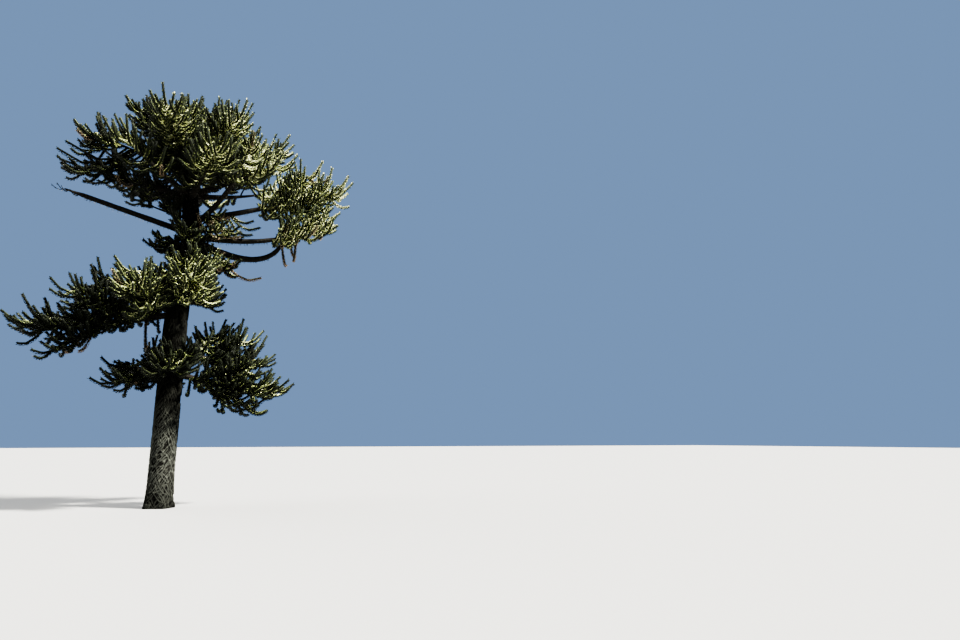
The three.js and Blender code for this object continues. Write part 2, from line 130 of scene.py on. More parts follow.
# One row for each limb, in the order of the fields
Limb = namedtuple(
    "Limb", "name height bearing length rise_foot rise_end late turn thick bare twigs shoot poise"
)
LIMB_ROWS = [
    ("skirt_left", 11.05, 176, 3.3, 8, 14, 1.2, 4, 0.2, 0.36, 2, 1.1, 6),
    ("skirt_front_left", 11.05, 229, 3.05, 12, 24, 1.2, -6, 0.19, 0.36, 2, 1.1, 12),
    ("skirt_front", 10.95, 281, 2.95, 12, 22, 1.2, 5, 0.19, 0.36, 2, 1.1, 12),
    ("skirt_front_right", 11.1, 331, 3.1, 14, 26, 1.2, 5, 0.19, 0.36, 2, 1.1, 12),
    ("skirt_back_right", 11.05, 24, 3.25, 12, 24, 1.2, 6, 0.19, 0.36, 2, 1.1, 12),
    ("skirt_back", 11.05, 76, 3.1, 12, 24, 1.2, 5, 0.19, 0.36, 2, 1.1, 12),
    ("skirt_back_left", 10.95, 127, 3.1, 12, 24, 1.2, -5, 0.19, 0.36, 2, 1.1, 12),
    ("shoulder_left", 11.95, 186, 3.3, 11, 20, 1.2, 0, 0.14, 0, 3, 0.98, 6),
    ("shoulder_front_left", 12.2, 246, 2.6, 17, 31, 1.2, 8, 0.13, 0, 2, 1.05, 6),
    ("shoulder_front_right", 12.05, 304, 2.65, 20, 36, 1.2, -6, 0.13, 0, 2, 1.05, 12),
    ("shoulder_right", 12.25, 356, 2.9, 15, 26, 1.2, 6, 0.13, 0, 2, 1.05, 8),
    ("shoulder_back_right", 12.05, 52, 2.7, 20, 36, 1.2, 5, 0.13, 0, 2, 1.05, 14),
    ("shoulder_back_left", 12.2, 120, 2.65, 18, 34, 1.2, -5, 0.13, 0, 2, 1.05, 12),
    ("top_left", 13.05, 176, 2.0, 28, 36, 1, 0, 0.09, 0, 3, 0.8, 12),
    ("top_front", 13.1, 262, 1.5, 18, 28, 1, 0, 0.09, 0, 2, 0.75, 4),
    ("top_right", 13.1, 352, 1.7, 36, 48, 1, 0, 0.09, 0, 2, 0.8, 20),
    ("top_back", 13.1, 80, 1.55, 34, 46, 1, 0, 0.09, 0, 2, 0.8, 18),
    ("reach_right", 10.15, 353, 5.15, 15, 26, 1.7, 2, 0.2, 0.48, 3, 1.05, 10),
    ("drip_right", 9.56, 343, 4.7, -7, 36, 1.6, 12, 0.2, 0.58, 2, 1.0, 4),
    ("hook_right", 9.42, 12, 3.95, -17, 88, 2.6, -4, 0.22, 0.86, 0, 0.9, 6),
    ("rise_right", 9.9, 312, 3.8, 26, 78, 1.2, 8, 0.19, 0.64, 0, 0.95, 14),
    ("bare_left", 9.64, 184, 4.2, 14, 15, 1, -3, 0.19, 0.86, 0, 0.42, 4),
    ("low_tuft_left", 10.2, 166, 1.5, 12, 20, 1, 8, 0.1, 0, 1, 0.8, 12),
    ("tuft_left", 9.1, 196, 0.9, -4, 4, 1, 0, 0.08, 0, 1, 0.7, 4),
    ("tuft_front", 9.25, 262, 1.1, 0, 10, 1, 0, 0.08, 0, 2, 0.85, -6),
    ("tuft_right", 8.85, 334, 1.5, -10, -6, 1, 4, 0.09, 0, 1, 0.9, -14),
    ("hanging_tuft", 9.7, 298, 1.5, 8, -6, 1, 16, 0.08, 0, 1, 0.95, -16),
    ("tuft_back", 9.0, 92, 1.1, 4, 16, 1, 0, 0.08, 0, 1, 0.85, 8),
    ("mid_left_low", 6.7, 188, 4.1, -18, 8, 1.4, -5, 0.19, 0.34, 3, 1.15, 6),
    ("mid_left_high", 7.05, 170, 3.5, -14, -3, 1.5, 6, 0.17, 0.18, 3, 1.05, -4),
    ("mid_front_left", 7.35, 236, 2.5, -8, 4, 1, 6, 0.12, 0, 3, 1.1, 4),
    ("mid_front", 7.75, 276, 2.2, -8, 4, 1, 0, 0.12, 0, 3, 1.1, 0),
    ("mid_right", 7.9, 340, 0.85, 0, 10, 1, 0, 0.11, 0, 1, 0.78, 6),
    ("mid_back_right", 7.4, 60, 1.7, 0, 14, 1, 0, 0.11, 0, 1, 1.0, 12),
    ("mid_back_left", 7.25, 114, 2.5, -4, 12, 1, 0, 0.12, 0, 2, 1.1, 12),
    ("low_right", 4.55, 344, 3.1, -12, 2, 1.3, 10, 0.18, 0.2, 3, 1.1, 4),
    ("low_right_back", 5.2, 32, 3.15, 0, 10, 1.3, -6, 0.17, 0.24, 2, 1.15, 12),
    ("low_left", 4.5, 202, 1.5, 0, -8, 1, -6, 0.12, 0, 2, 1.05, -6),
    ("low_front", 4.75, 268, 1.5, 4, 0, 1, 0, 0.11, 0, 1, 1.0, -6),
    ("low_back", 4.85, 115, 2.2, 0, 8, 1, 0, 0.12, 0, 2, 1.05, 4),
    ("leader", TRUNK_TOP, 20, 0.26, 90, 80, 1, 0, 0.066, 0, 1, 0.46, 0),
]
LIMBS = [Limb(*row) for row in LIMB_ROWS]

# Shares of the shoots that are dry and brown: the usual one, and those of some limbs
DRY_SHARE = 0.006
DRY_LIMBS = {"hanging_tuft": 0.35, "tuft_right": 0.2, "drip_right": 0.1, "hook_right": 0.15}
DEAD_LIMB = "bare_left"

# Shares of the finer shoots that grow where the crown is open to the sky
OPEN_MASSES = {"skirt": 0.35, "tuft": 0.75, "mid": 0.9, "hanging": 0.6, "drip": 0.8}
HANGING_SHARE = 0.45  # of the finer shoots that point down
HANGING_DROP = 0.1  # from the foot of a shoot that points down to its tip, at least

# The kinds of side shoots. The channel is the first of each kind's draws.
LEAST_ROOM = 0.03
Kind = namedtuple("Kind", "offset poise_spread share_of_length room channel")
MAIN = Kind(0.5, POISE_SPREAD, 1, CLEARANCE, 0)
FINER = (Kind(0.0, 40, 0.95, -0.35, 4), Kind(0.25, 50, 0.85, -0.55, 8))

# The sprigs on each shoot: the share of shoots that have one, and from what to what its other numbers run
Sprig = namedtuple("Sprig", "share places openings lifts lengths side channel")
LONG_SPRIG = Sprig(0.85, (0.06, 0.28), (20, 34), (-8, 28), (0.62, 0.84), 1, 1)
SHORT_SPRIG = Sprig(0.85, (0.34, 0.58), (24, 40), (-4, 36), (0.4, 0.56), -1, 11)

# Shoots that are set one by one, by their limb: the share of the way along it, and the shoot's tip. The first
# reach out of their masses, the next curl up pale in front of the trunk, and the last hang down dry.
REACHING_SHOOTS = {
    "shoulder_left": (
        (0.6, (-3.98, -0.3, 12.02)),
        (0.66, (-3.8, -0.25, 11.66)),
        (0.78, (-3.74, -0.3, 12.32)),
        (0.5, (-3.15, -0.3, 11.74)),
        (0.55, (-3.0, -0.2, 11.95)),
        (0.62, (-3.2, -0.45, 12.0)),
    ),
    "reach_right": (
        (0.24, (2.47, -0.45, 9.73)),
        (0.26, (2.73, -0.4, 10.05)),
        (0.22, (2.16, -0.5, 9.58)),
        (0.2, (1.84, -0.5, 9.48)),
        (0.27, (2.5, -0.35, 10.3)),
    ),
}
CURLED_SHOOTS = {
    "low_front": (
        (0.75, (-0.57, -1.35, 5.13)),
        (0.82, (-0.28, -1.5, 5.3)),
        (0.88, (0.02, -1.55, 5.3)),
        (0.8, (0.32, -1.45, 5.2)),
        (0.7, (0.52, -1.3, 5.0)),
    ),
}
HANGING_SHOOTS = {
    "drip_right": ((0.68, (3.71, -0.65, 8.63)), (0.74, (4.02, -0.5, 9.05)), (0.8, (3.97, -0.7, 8.83))),
    "tuft_right": ((0.85, (2.86, -0.5, 8.12)),),
    "mid_left_low": ((0.62, (-2.75, -0.2, 5.15)), (0.7, (-3.1, -0.2, 5.1)), (0.25, (-0.76, -0.3, 5.4))),
}

# The needle leaves
LEAF_TURN = math.pi * (3 - math.sqrt(5))  # from one leaf to the next round a shoot
LEAF_WIDEST = 0.4
LEAF_FOLD = 0.22
LEAF_OPEN = (33, 24)
LEAF_OPEN_SPREAD = 6
LEAF_SIZES = (0.82, 1.12)
LEAF_START = 6.3  # how far round its shoot the first leaf can stand, in radians
LEAF_SHORTER = 0.12  # how much shorter the last leaf is
LEAF_SEAT = 0.8  # where a leaf stands in the core, as a share of the core's radius
LEAST_LEAVES = 3
CORE_RADII = (0.043, 0.038)
CORE_SIDES = 5
CORE_RINGS = 4

# The old dry leaves that still stand on the bare boughs and high on the trunk
OLD_LEAF_OPEN = (62, 112)
OLD_LEAF_SIZES = (0.5, 1.1)
OLD_LEAF_UNDER = 0.35  # how much shorter they are on top of a bough than under it
OLD_LEAF_SEAT = 0.85
TRUNK_LEAF_HEIGHTS = (8.4, 13.6)
TRUNK_LEAF_RISES = (-40, 40)
TRUNK_LEAF_SEAT = 0.95
TRUNK_LEAF_SEED = 91

# The shares of a live shoot's core and leaves that a dead one has
DEAD_CORE = 0.3
DEAD_LEAVES = 0.12

# The tones of the live leaves, from dark to light, and the share of the leaves that each has. These tones are
# painted light and shade: a leaf is lighter where more light would fall on it, with some spread at random
LIVE_TONES = ("shade", "deep", "mid", "olive", "sun")
LIVE_SHARES = (0.34, 0.22, 0.12, 0.13, 0.19)
TONE_OUT = 0.14  # painted light: how much lighter a shoot is for each metre out from the trunk
TONE_LIFT = 0.5  # where it points up
TONE_SIDE = 0.8  # painted sunlight from the right and the front: at TONE_RIGHT metres to the right, or TONE_FRONT metres to the front
TONE_RIGHT = 5
TONE_FRONT = 8
TONE_HIGH = (12.3, 0.5)  # painted light above this height, and by how much
TONE_LOW = (6, 0.6)  # painted shade: how much darker below this height
TONE_SPREAD = 0.6
UPPER_SIDE = 1.5  # painted light: how much lighter a leaf on the upper side of its shoot is, where the light falls
PALE_SHOOT = 1.3  # how much lighter the curled shoots in front of the low tier are
# Painted light on some limbs: how much lighter their shoots are; below 0, painted shade
SUNNY_LIMBS = {
    "mid_front": 0.5,
    "mid_front_left": 0.5,
    "mid_right": 0.3,
    "mid_left_high": 0.2,
    "low_front": -0.3,
}
TIP_SHADE = 0.5  # how much darker the leaves at the tip of a shoot are
Leaves = namedtuple("Leaves", "feet runs faces lengths widths")

# The bark
TRUNK_COLUMNS = 180
TRUNK_ROWS = 400
ROW_CROWDING = 1.35  # above 1, so the rows lie closer together at the foot
STRAND_LEAST_SLOPE = 1.2
CROSSED_SIDE = -0.5  # the direction in which the trunk's strands wind the other way
Strands = namedtuple("Strands", "number slant stretch width channel")
WIDE_STRANDS = Strands(36, 9.5, 3.2, 0.021, 11)
SLIM_STRANDS = Strands(45, 12, 4.2, 0.017, 21)
CROSSED_STRANDS = Strands(36, -7, 3, 0.019, 31)
WARP_SHARE = 3  # the strands that one wave of their warp takes up
WARP_STRETCH = 1.1
SLIM_SHARE = 0.85
WOUND_AWAY = 0.6  # how far the strands fade on the crossed side
CROSSED_LEAST = 0.3
SOFT_HEIGHT = 7  # the trunk's relief dies down to a share round this height
SOFT_SPREAD = 1.2
SOFT_SHARE = 0.5
RIDGE_FADE = 6  # the length below the top over which the ridges get shallower
RIDGE_LEAST = 0.2
BOUGH_COLUMNS = 16
BOUGH_START = 0.5  # where a bough's mesh starts, as a share of the trunk's radius
BOUGH_FULLER = {"hook_right": 1.25, "bare_left": 1.1}  # times the solid's radius, with its coat of leaf scars
BOUGH_STEP = 0.055
BOUGH_LEAST_ROWS = 4
BOUGH_LEAST_BARE = 0.3
STEM_POWER = 0.8
SCARS_ROUND = 4  # the leaf scars round a limb
SCARS_ALONG = (30, -34)  # how fast their two slants turn along it, in radians a metre
SCAR_WARP = (0.8, 2, 5)  # how far their rows wander, how often round the limb and how fast along it
SCAR_RADIUS = 0.98  # the radius between the scars, as a share of the limb's
SCAR_RISE = 0.16
TWIG_COLUMNS = 8
TWIG_ROUND = 0.03
TWIG_TIP = 0.014
STEM_TIP = 0.024

# Gaps where sky shows, as the camera sees them: their middle across and up in the trunk's plane, half their
# width and half their height
SKY_GAPS = (
    (-1.60, 5.42, 0.77, 0.48),
    (-0.76, 10.18, 0.39, 0.26),
    (-0.40, 9.64, 0.29, 0.22),
    (1.09, 11.06, 0.35, 0.27),
    (2.21, 11.22, 0.47, 0.27),
    (2.71, 10.11, 0.58, 0.43),
    (2.32, 9.24, 0.90, 0.19),
    (3.56, 9.15, 0.18, 0.47),
    (2.58, 8.47, 0.50, 0.27),
    (-1.90, 12.44, 0.28, 0.13),
    (-1.53, 12.24, 0.19, 0.13),
    (-2.80, 10.80, 0.48, 0.19),
    (-3.77, 12.79, 0.29, 0.30),
)
GAP_DEPTH = 3.4  # shoots that reach further forward or back stay
GAP_TESTS = np.linspace(0.2, 1, 5)  # the shares of a shoot's length that are tested

# The photograph's camera
IMAGE_WIDTH = 960
FOCAL_PIXELS = 693
SENSOR = 36
CAMERA_PLACE = (0, -26.42, 2.268)
CAMERA_PITCH = 9.8
CAMERA_TURN = 24.25
VIEW_REACH = 500


def mix(a, b, t):
    """The value between a and b at share t."""
    return a + (b - a) * t


def chance(seed, count, channel):
    """Numbers from 0 to 1 that are always the same for the same three counts.

    The count and the channel only keep one draw apart from the others.
    """
    by_seed, by_count, by_channel = CHANCE_WAVES
    wave = np.sin(seed * by_seed + count * by_count + channel * by_channel) * CHANCE_SCALE
    return wave - np.floor(wave)


def unit(vectors):
    """The vectors at length 1."""
    return vectors / np.linalg.norm(vectors, axis=-1, keepdims=True)


def turned(first, second, angle):
    """The first direction, turned by an angle towards the second, which is square to it."""
    return first * np.cos(angle) + second * np.sin(angle)


def heading(bearing, rise):
    """Unit directions from bearings and rises."""
    turn, tilt = np.radians(bearing), np.radians(rise)
    flat = np.cos(tilt)
    return np.stack(np.broadcast_arrays(flat * np.cos(turn), flat * np.sin(turn), np.sin(tilt)), axis=-1)


def trunk_axis(z):
    """The trunk's middle at heights z: a steady lean, a bell-shaped bow to the right and a slow sine away."""
    bow = BEND * np.exp(-(((z - BEND_HEIGHT) / BEND_SPREAD) ** 2))
    bow_at_foot = BEND * math.exp(-((BEND_HEIGHT / BEND_SPREAD) ** 2))
    sway = SWAY * np.sin(np.pi * z / TRUNK_TOP)
    return np.stack(np.broadcast_arrays(LEAN * z + bow - bow_at_foot, sway, z), axis=-1)


def trunk_radius(z):
    """The trunk's radius at heights z, without the root flare: it narrows slowly, then fast near the tip."""
    return TRUNK_RADIUS * (1 - (z / TAPER_REACH) ** TAPER_POWER) ** TAPER_ROUND


class LimbCurve:
    """A limb's path: short straight steps whose bearing and rise change along it. It runs on past its end."""

    def __init__(self, start, bearing, length, rise_foot, rise_end, late=1.0, turn=0.0):
        self.bearing = bearing
        self.turn = turn
        self.length = length
        self.rises = (rise_foot, rise_end, late)
        shares = (np.arange(LIMB_STEPS) + 0.5) / LIMB_STEPS
        steps = np.cumsum(self.runs(shares) * length / LIMB_STEPS, axis=0)
        self.points = np.vstack([start, start + steps])

    def runs(self, share):
        """Which way the limb runs at a share of its length."""
        foot, end, late = self.rises
        return heading(self.bearing + self.turn * share, mix(foot, end, share**late))

    def at(self, distance):
        """Points, directions and level sideways directions at distances along the limb."""
        distance = np.asarray(distance, dtype=float)
        place = np.clip(distance * LIMB_STEPS / self.length, 0, LIMB_STEPS)
        low = np.minimum(np.floor(place).astype(int), LIMB_STEPS - 1)
        direction = self.runs(place / LIMB_STEPS)
        point = mix(self.points[low], self.points[low + 1], (place - low)[..., None])
        point = point + direction * np.maximum(distance - self.length, 0)[..., None]
        level = heading(self.bearing + self.turn * place / LIMB_STEPS + 90, np.zeros_like(place))
        return point, direction, level


def limb_radius(limb, distance):
    """A limb's radius along it: an even taper, and a collar that dies away from the trunk."""
    share = np.minimum(distance / limb.length, 1)
    return mix(limb.thick / 2, STEM_RADIUS, share) * (1 + COLLAR * np.exp(-distance / COLLAR_LENGTH))


def stem_start(limb):
    """How far along a limb its foliage starts."""
    return limb.length * limb.bare + (GAP if limb.bare else 0)


def limb_curve(limb):
    """A limb's curve from the middle of the trunk, or from the trunk's top."""
    foot = trunk_axis(limb.height if limb.height < TRUNK_TOP else TRUNK_TOP + GAP)
    return LimbCurve(foot, limb.bearing, limb.length, limb.rise_foot, limb.rise_end, limb.late, limb.turn)


CURVES = [limb_curve(limb) for limb in LIMBS]


def stretches(points, radii):
    """The straight stretches between points: their starts, ends and larger radii."""
    return points[:-1], points[1:], np.maximum(radii[:-1], radii[1:])


def limb_stretches(limb, curve, start, end, bands):
    """A limb's stretches from one distance along it to another."""
    places = np.linspace(start, end, bands + 1)
    return stretches(curve.at(places)[0], limb_radius(limb, places))


@cache
def stems():
    """Every mass's stem as stretches: starts, ends, and the count of the limb that each belongs to."""
    found = []
    for count, (limb, curve) in enumerate(zip(LIMBS, CURVES)):
        starts, ends, radii = limb_stretches(limb, curve, stem_start(limb), limb.length, BEND_BANDS)
        found.append((starts, ends, np.full(len(radii), count)))
    return tuple(np.concatenate(parts) for parts in zip(*found))


@cache
def wood():
    """The trunk and the bare boughs as stretches: starts, ends and radii."""
    heights = np.linspace(0, TRUNK_TOP, LIMB_STEPS + 1)
    found = [stretches(trunk_axis(heights), trunk_radius(heights))]
    for limb, curve in zip(LIMBS, CURVES):
        bare = limb.length * limb.bare
        bend = bare * BEND_SPLIT.get(limb.name, 1)
        if bare:
            found.append(limb_stretches(limb, curve, 0, bend, BOUGH_BANDS))
        if bend < bare:
            found.append(limb_stretches(limb, curve, bend + GAP, bare, BEND_BANDS))
    return tuple(np.concatenate(parts) for parts in zip(*found))


def distances(points, starts, ends):
    """How far each point is from the middle of each straight stretch."""
    runs = ends - starts
    away = points[..., None, :] - starts
    along = np.clip((away * runs).sum(-1) / (runs**2).sum(-1), 0, 1)
    return np.linalg.norm(away - along[..., None] * runs, axis=-1)


def clear_of_wood(points, room):
    """True where points are that far from the trunk and the bare boughs."""
    starts, ends, radii = wood()
    return (distances(points, starts, ends) - radii).min(-1) > room


def free(points, count, room):
    """True where points are in the space of limb number count, by twice a room, and clear of the wood.

    The space of a limb is whatever is nearer its stem than any other. A room under 0 lets points leave it.
    """
    starts, ends, owners = stems()
    reach = distances(points, starts, ends)
    own = reach[..., owners == count].min(-1)
    others = reach[..., owners != count].min(-1)
    return (others - own > 2 * room) & clear_of_wood(points, max(room, LEAST_ROOM))


# A stem or twig: its curve, where it starts, where its shoots start, where it ends, half its width, its roll,
# the length and poise of its shoots, its seed and the count of its limb
Twig = namedtuple("Twig", "curve start open end width roll shoot poise seed limb")


def place_on(twig, along, across, rise):
    """Places on a twig's sheet: along its curve, across it to the left, and risen off it."""
    point, direction, level = twig.curve.at(along)
    left = turned(level, np.cross(direction, level), math.radians(twig.roll))
    over = np.cross(direction, left)
    return point + left * across[..., None] + over * rise[..., None]


def half_width(twig, along):
    """Half a twig's width at distances along it, without its needles."""
    share = np.minimum((along - twig.start) / (twig.end - twig.start), 1)
    return mix(twig.width, TIP_WIDTH, share**WIDTH_POWER)


def twig_on(count, stem, i):
    """Twig number i of a stem, at the first length that keeps it in its own space, or None."""
    limb = LIMBS[count]
    place = mix(stem.open, stem.end, TWIG_PLACES[i])
    share = place / limb.length
    rise = mix(limb.rise_foot, limb.rise_end, share**limb.late)
    rises = [min(rise + TWIG_SIDES[i] * more, STEEPEST) for more in TWIG_RISES]
    spread = SPREAD if limb.height < TRUNK_TOP else LEADER_SPREAD
    bearing = limb.bearing + limb.turn * share + TWIG_HANDS[i] * spread
    start = stem.curve.at(place)[0]
    for part in TWIG_SHARES:
        length = max((stem.end - place) * part, limb.shoot * part)
        curve = LimbCurve(start, bearing, length, *rises)
        if free(curve.at(TWIG_TESTS * length)[0], count, CLEARANCE).all():
            foot = min(TWIG_FOOT, FOOT_SHARE * length)
            roll = TWIG_HANDS[i] * TWIG_ROLL
            shoot = limb.shoot * TWIG_SHOOT
            return Twig(curve, 0, foot, length, TWIG_WIDTH, roll, shoot, limb.poise, i + 1, count)
    return None


def stem_of(count):
    """The stem of limb number count."""
    limb = LIMBS[count]
    seated = not limb.bare and limb.height < TRUNK_TOP
    start = stem_start(limb)
    first = trunk_radius(limb.height) + CLEARANCE if seated else start + TIP_WIDTH
    width = STEM_WIDTH * limb_radius(limb, start)
    return Twig(CURVES[count], start, first, limb.length, width, 0, limb.shoot, limb.poise, 0, count)


@cache
def twigs():
    """Every mass's stem and the twigs on it that fit. A twig's seed is counted on from its mass's."""
    found = []
    for count, limb in enumerate(LIMBS):
        stem = stem_of(count)
        made = [stem] + [twig_on(count, stem, i) for i in range(limb.twigs)]
        kept = [twig for twig in made if twig]
        found += [twig._replace(seed=TWIG_SEEDS * (count + 1) + i) for i, twig in enumerate(kept)]
    return found


# Many shoots as arrays: their feet, their tips, the count of their limb, and a seed each
Shoots = namedtuple("Shoots", "feet tips limbs seeds")


def longest(twig, feet, tips, room):
    """The longest of each shoot's tries that stays in its mass's space, and which shoots have one.

    tips has one row for each shoot and one column for each try, the longest first.
    """
    tests = feet[:, None, None] + (tips - feet[:, None])[:, :, None] * SHOOT_TESTS[:, None]
    fits = free(tests, twig.limb, room).all(-1)
    chosen = tips[np.arange(len(tips)), fits.argmax(-1)]
    return chosen, fits.any(-1)


def shoots_on(twig, kind):
    """The side shoots of one kind on a twig, on both edges of it.

    Their openings narrow along the twig, and their rises are dealt out evenly round its poise.
    """
    number = max(LEAST_SHOOTS, round((twig.end - twig.open) / SHOOT_PITCH + HALF_UP))
    count, hand = (a.ravel() for a in np.meshgrid(np.arange(number), [1, -1], indexing="ij"))
    share = (count + kind.offset) / number
    draw = 2 * count + (hand > 0)
    foot = mix(twig.open, twig.end, share)
    opening = mix(*SHOOT_OPEN, share) + OPEN_SPREAD * (2 * chance(twig.seed, draw, kind.channel + 1) - 1)
    turn = np.radians(opening)
    dealt = (draw * GOLDEN + chance(twig.seed, 0, kind.channel + 2)) % 1
    rise = np.radians(twig.poise + kind.poise_spread * (2 * dealt - 1))
    full = mix(*SHOOT_LENGTHS, chance(twig.seed, draw, kind.channel + 3))
    reach = (twig.shoot * kind.share_of_length * full)[:, None] * SHORTER
    along = foot[:, None] + reach * (np.cos(rise) * np.cos(turn))[:, None]
    across = half_width(twig, foot)[:, None] + reach * (np.cos(rise) * np.sin(turn))[:, None]
    feet = twig.curve.at(foot)[0]
    tips = place_on(twig, along, across * hand[:, None], reach * np.sin(rise)[:, None])
    chosen, fit = longest(twig, feet, tips, kind.room)
    seeds = twig.seed * TWIG_SEED_STEP + kind.channel * KIND_SEED_STEP + draw
    return Shoots(feet[fit], chosen[fit], np.full(fit.sum(), twig.limb), seeds[fit])


def end_shoot(twig):
    """The shoot that carries a twig on from its end."""
    feet = twig.curve.at([twig.end])[0]
    tips = twig.curve.at(twig.end + twig.shoot * SHORTER)[0][None]
    chosen, fit = longest(twig, feet, tips, CLEARANCE)
    seed = TWIG_SEED_STEP * twig.seed + END_SEED
    return Shoots(feet[fit], chosen[fit], np.full(fit.sum(), twig.limb), np.full(fit.sum(), seed))


def joined(groups):
    """Several groups of shoots as one."""
    return Shoots(*(np.concatenate(parts) for parts in zip(*groups)))


def lengths_of(shoots):
    """How long each shoot is, straight from its foot to its tip."""
    return np.linalg.norm(shoots.tips - shoots.feet, axis=-1)


def sag_curve(shoots, share, sag):
    """Points on shoots at shares of their length: a straight run less a parabola, so the tips curve up."""
    point = shoots.feet + (shoots.tips - shoots.feet) * share[..., None]
    point[..., 2] -= sag * lengths_of(shoots) * 4 * share * (1 - share)
    return point


def sag_direction(shoots, share, sag):
    """Which way shoots run at shares of their length: the slope of that curve."""
    slope = shoots.tips - shoots.feet
    slope[..., 2] -= sag * lengths_of(shoots) * 4 * (1 - 2 * share)
    return unit(slope)


def picked(grown, rows):
    """Some of the shoots or leaves, by row."""
    return grown._make(part[rows] for part in grown)


def sideways(forward):
    """Two directions square to each run: a level one, unless the run is steep, and one over it."""
    steep = np.abs(forward[..., 2:]) > STEEP
    reference = np.where(steep, np.array([1.0, 0, 0]), np.array([0, 0, 1.0]))
    left = unit(np.cross(reference, forward))
    return left, np.cross(forward, left)


def sprigs(shoots, kind, sag):
    """Side shoots of one kind on shoots: each opens to one side and rises or hangs a little."""
    channel = kind.channel
    shoots = picked(shoots, chance(shoots.seeds, 7, channel) < kind.share)
    hand = kind.side * np.sign(chance(shoots.seeds, 1, 1) - 0.5)[:, None]
    share = mix(*kind.places, chance(shoots.seeds, 1, channel + 1))
    feet = sag_curve(shoots, share, sag)
    forward = sag_direction(shoots, share, sag)
    left, over = sideways(forward)
    turn = np.radians(mix(*kind.openings, chance(shoots.seeds, 2, channel)))[:, None]
    lift = np.radians(mix(*kind.lifts, chance(shoots.seeds, 3, channel)))[:, None]
    run = turned(turned(forward, left * hand, turn), over, lift)
    length = lengths_of(shoots) * mix(*kind.lengths, chance(shoots.seeds, 4, channel))
    tips = feet + run * length[:, None]
    kept = clear_of_wood(tips, CLEARANCE)
    return Shoots(feet[kept], tips[kept], shoots.limbs[kept], shoots.seeds[kept] + SPRIG_SEED + channel)


def set_shoots(table, first_seed, seed_step):
    """The shoots of a table, from their limbs to their tips."""
    names = [limb.name for limb in LIMBS]
    rows = [(names.index(name), share, tip) for name, shoots in table.items() for share, tip in shoots]
    feet = [CURVES[i].at(share * LIMBS[i].length)[0] for i, share, tip in rows]
    limbs, _, tips = zip(*rows)
    seeds = first_seed + seed_step * np.arange(len(rows))
    return Shoots(np.array(feet), np.array(tips), np.array(limbs), seeds)


def over_sky(shoots, sag):
    """Whether any part of a shoot lies over a gap where the camera sees sky."""
    seen = np.zeros(len(shoots.feet), bool)
    for share in GAP_TESTS:
        points = sag_curve(shoots, np.full(len(seen), share), sag) - CAMERA_PLACE
        shown = points * (-CAMERA_PLACE[1] / points[:, 1:2]) + CAMERA_PLACE
        for across, up, half_wide, half_high in SKY_GAPS:
            seen |= ((shown[:, 0] - across) / half_wide) ** 2 + ((shown[:, 2] - up) / half_high) ** 2 < 1
    return seen & (np.abs(shoots.tips[:, 1]) < GAP_DEPTH)


def by_limb(table, usual, shoots):
    """Each shoot's number from a table that has it by its limb's name or the name's first word."""
    names = [(limb.name, limb.name.split("_")[0]) for limb in LIMBS]
    return np.array([table.get(name, table.get(word, usual)) for name, word in names])[shoots.limbs]


def opened(shoots, sag):
    """The shoots that are left where the crown is open to the sky."""
    share = by_limb(OPEN_MASSES, 1, shoots)
    hanging = shoots.tips[:, 2] < shoots.feet[:, 2] - HANGING_DROP
    share = np.where(hanging, share * HANGING_SHARE, share)
    return picked(shoots, (chance(shoots.seeds, 8, 1) < share) & ~over_sky(shoots, sag))


def limb_twigs(dead):
    """The stems and twigs of the dead limb, or of all the others."""
    return [twig for twig in twigs() if (LIMBS[twig.limb].name == DEAD_LIMB) == dead]


@cache
def crown(sag):
    """Every leafy shoot: the main ones, finer ones between them, those set one by one, and sprigs on them."""
    leafy = limb_twigs(dead=False)
    coarse = joined([end_shoot(twig) for twig in leafy] + [shoots_on(twig, MAIN) for twig in leafy])
    coarse = picked(coarse, ~over_sky(coarse, sag))
    finer = opened(joined([shoots_on(twig, kind) for twig in leafy for kind in FINER]), sag)
    reaching = set_shoots(REACHING_SHOOTS, REACHING_SEED, 1)
    curled = set_shoots(CURLED_SHOOTS, CURLED_SEED, 1)
    grown = joined([coarse, finer, reaching, curled])
    more = joined([sprigs(grown, kind, sag) for kind in (LONG_SPRIG, SHORT_SPRIG)])
    return joined([grown, opened(more, sag), set_shoots(HANGING_SHOOTS, -1, -1)])


def add_to_scene(name, data):
    """A new object in the scene."""
    made = bpy.data.objects.new(name, data)
    bpy.context.scene.collection.objects.link(made)
    return made


def new_mesh(name, vertices, *faces):
    """A mesh object from an array of vertices and arrays of faces, with one row of corners for each face."""
    mesh = bpy.data.meshes.new(name)
    corners = np.concatenate([part.ravel() for part in faces]).astype(np.int32)
    totals = np.concatenate([np.full(len(part), part.shape[1]) for part in faces]).astype(np.int32)
    mesh.vertices.add(len(vertices))
    mesh.vertices.foreach_set("co", vertices.astype(np.float32).ravel())
    mesh.loops.add(len(corners))
    mesh.loops.foreach_set("vertex_index", corners)
    mesh.polygons.add(len(totals))
    mesh.polygons.foreach_set("loop_start", np.cumsum(totals, dtype=np.int32) - totals)
    mesh.polygons.foreach_set("loop_total", totals)
    mesh.update(calc_edges=True)
    mesh.validate()
    return add_to_scene(name, mesh)


def finish_piece(made, material, slot, *nodes):
    """Gives a piece its material and its ride, and hides the solids that it stands for. The slot is not used.
    """
    made.data.materials.append(material)
    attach(made, "root")
    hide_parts(*nodes)


def grid_faces(rows, columns):
    """The four-cornered faces of a grid that closes round its columns, with their outside outwards."""
    row, column = np.meshgrid(np.arange(rows - 1), np.arange(columns), indexing="ij")
    here, right = row * columns + column, row * columns + (column + 1) % columns
    return np.stack([here, right, right + columns, here + columns], axis=-1).reshape(-1, 4)


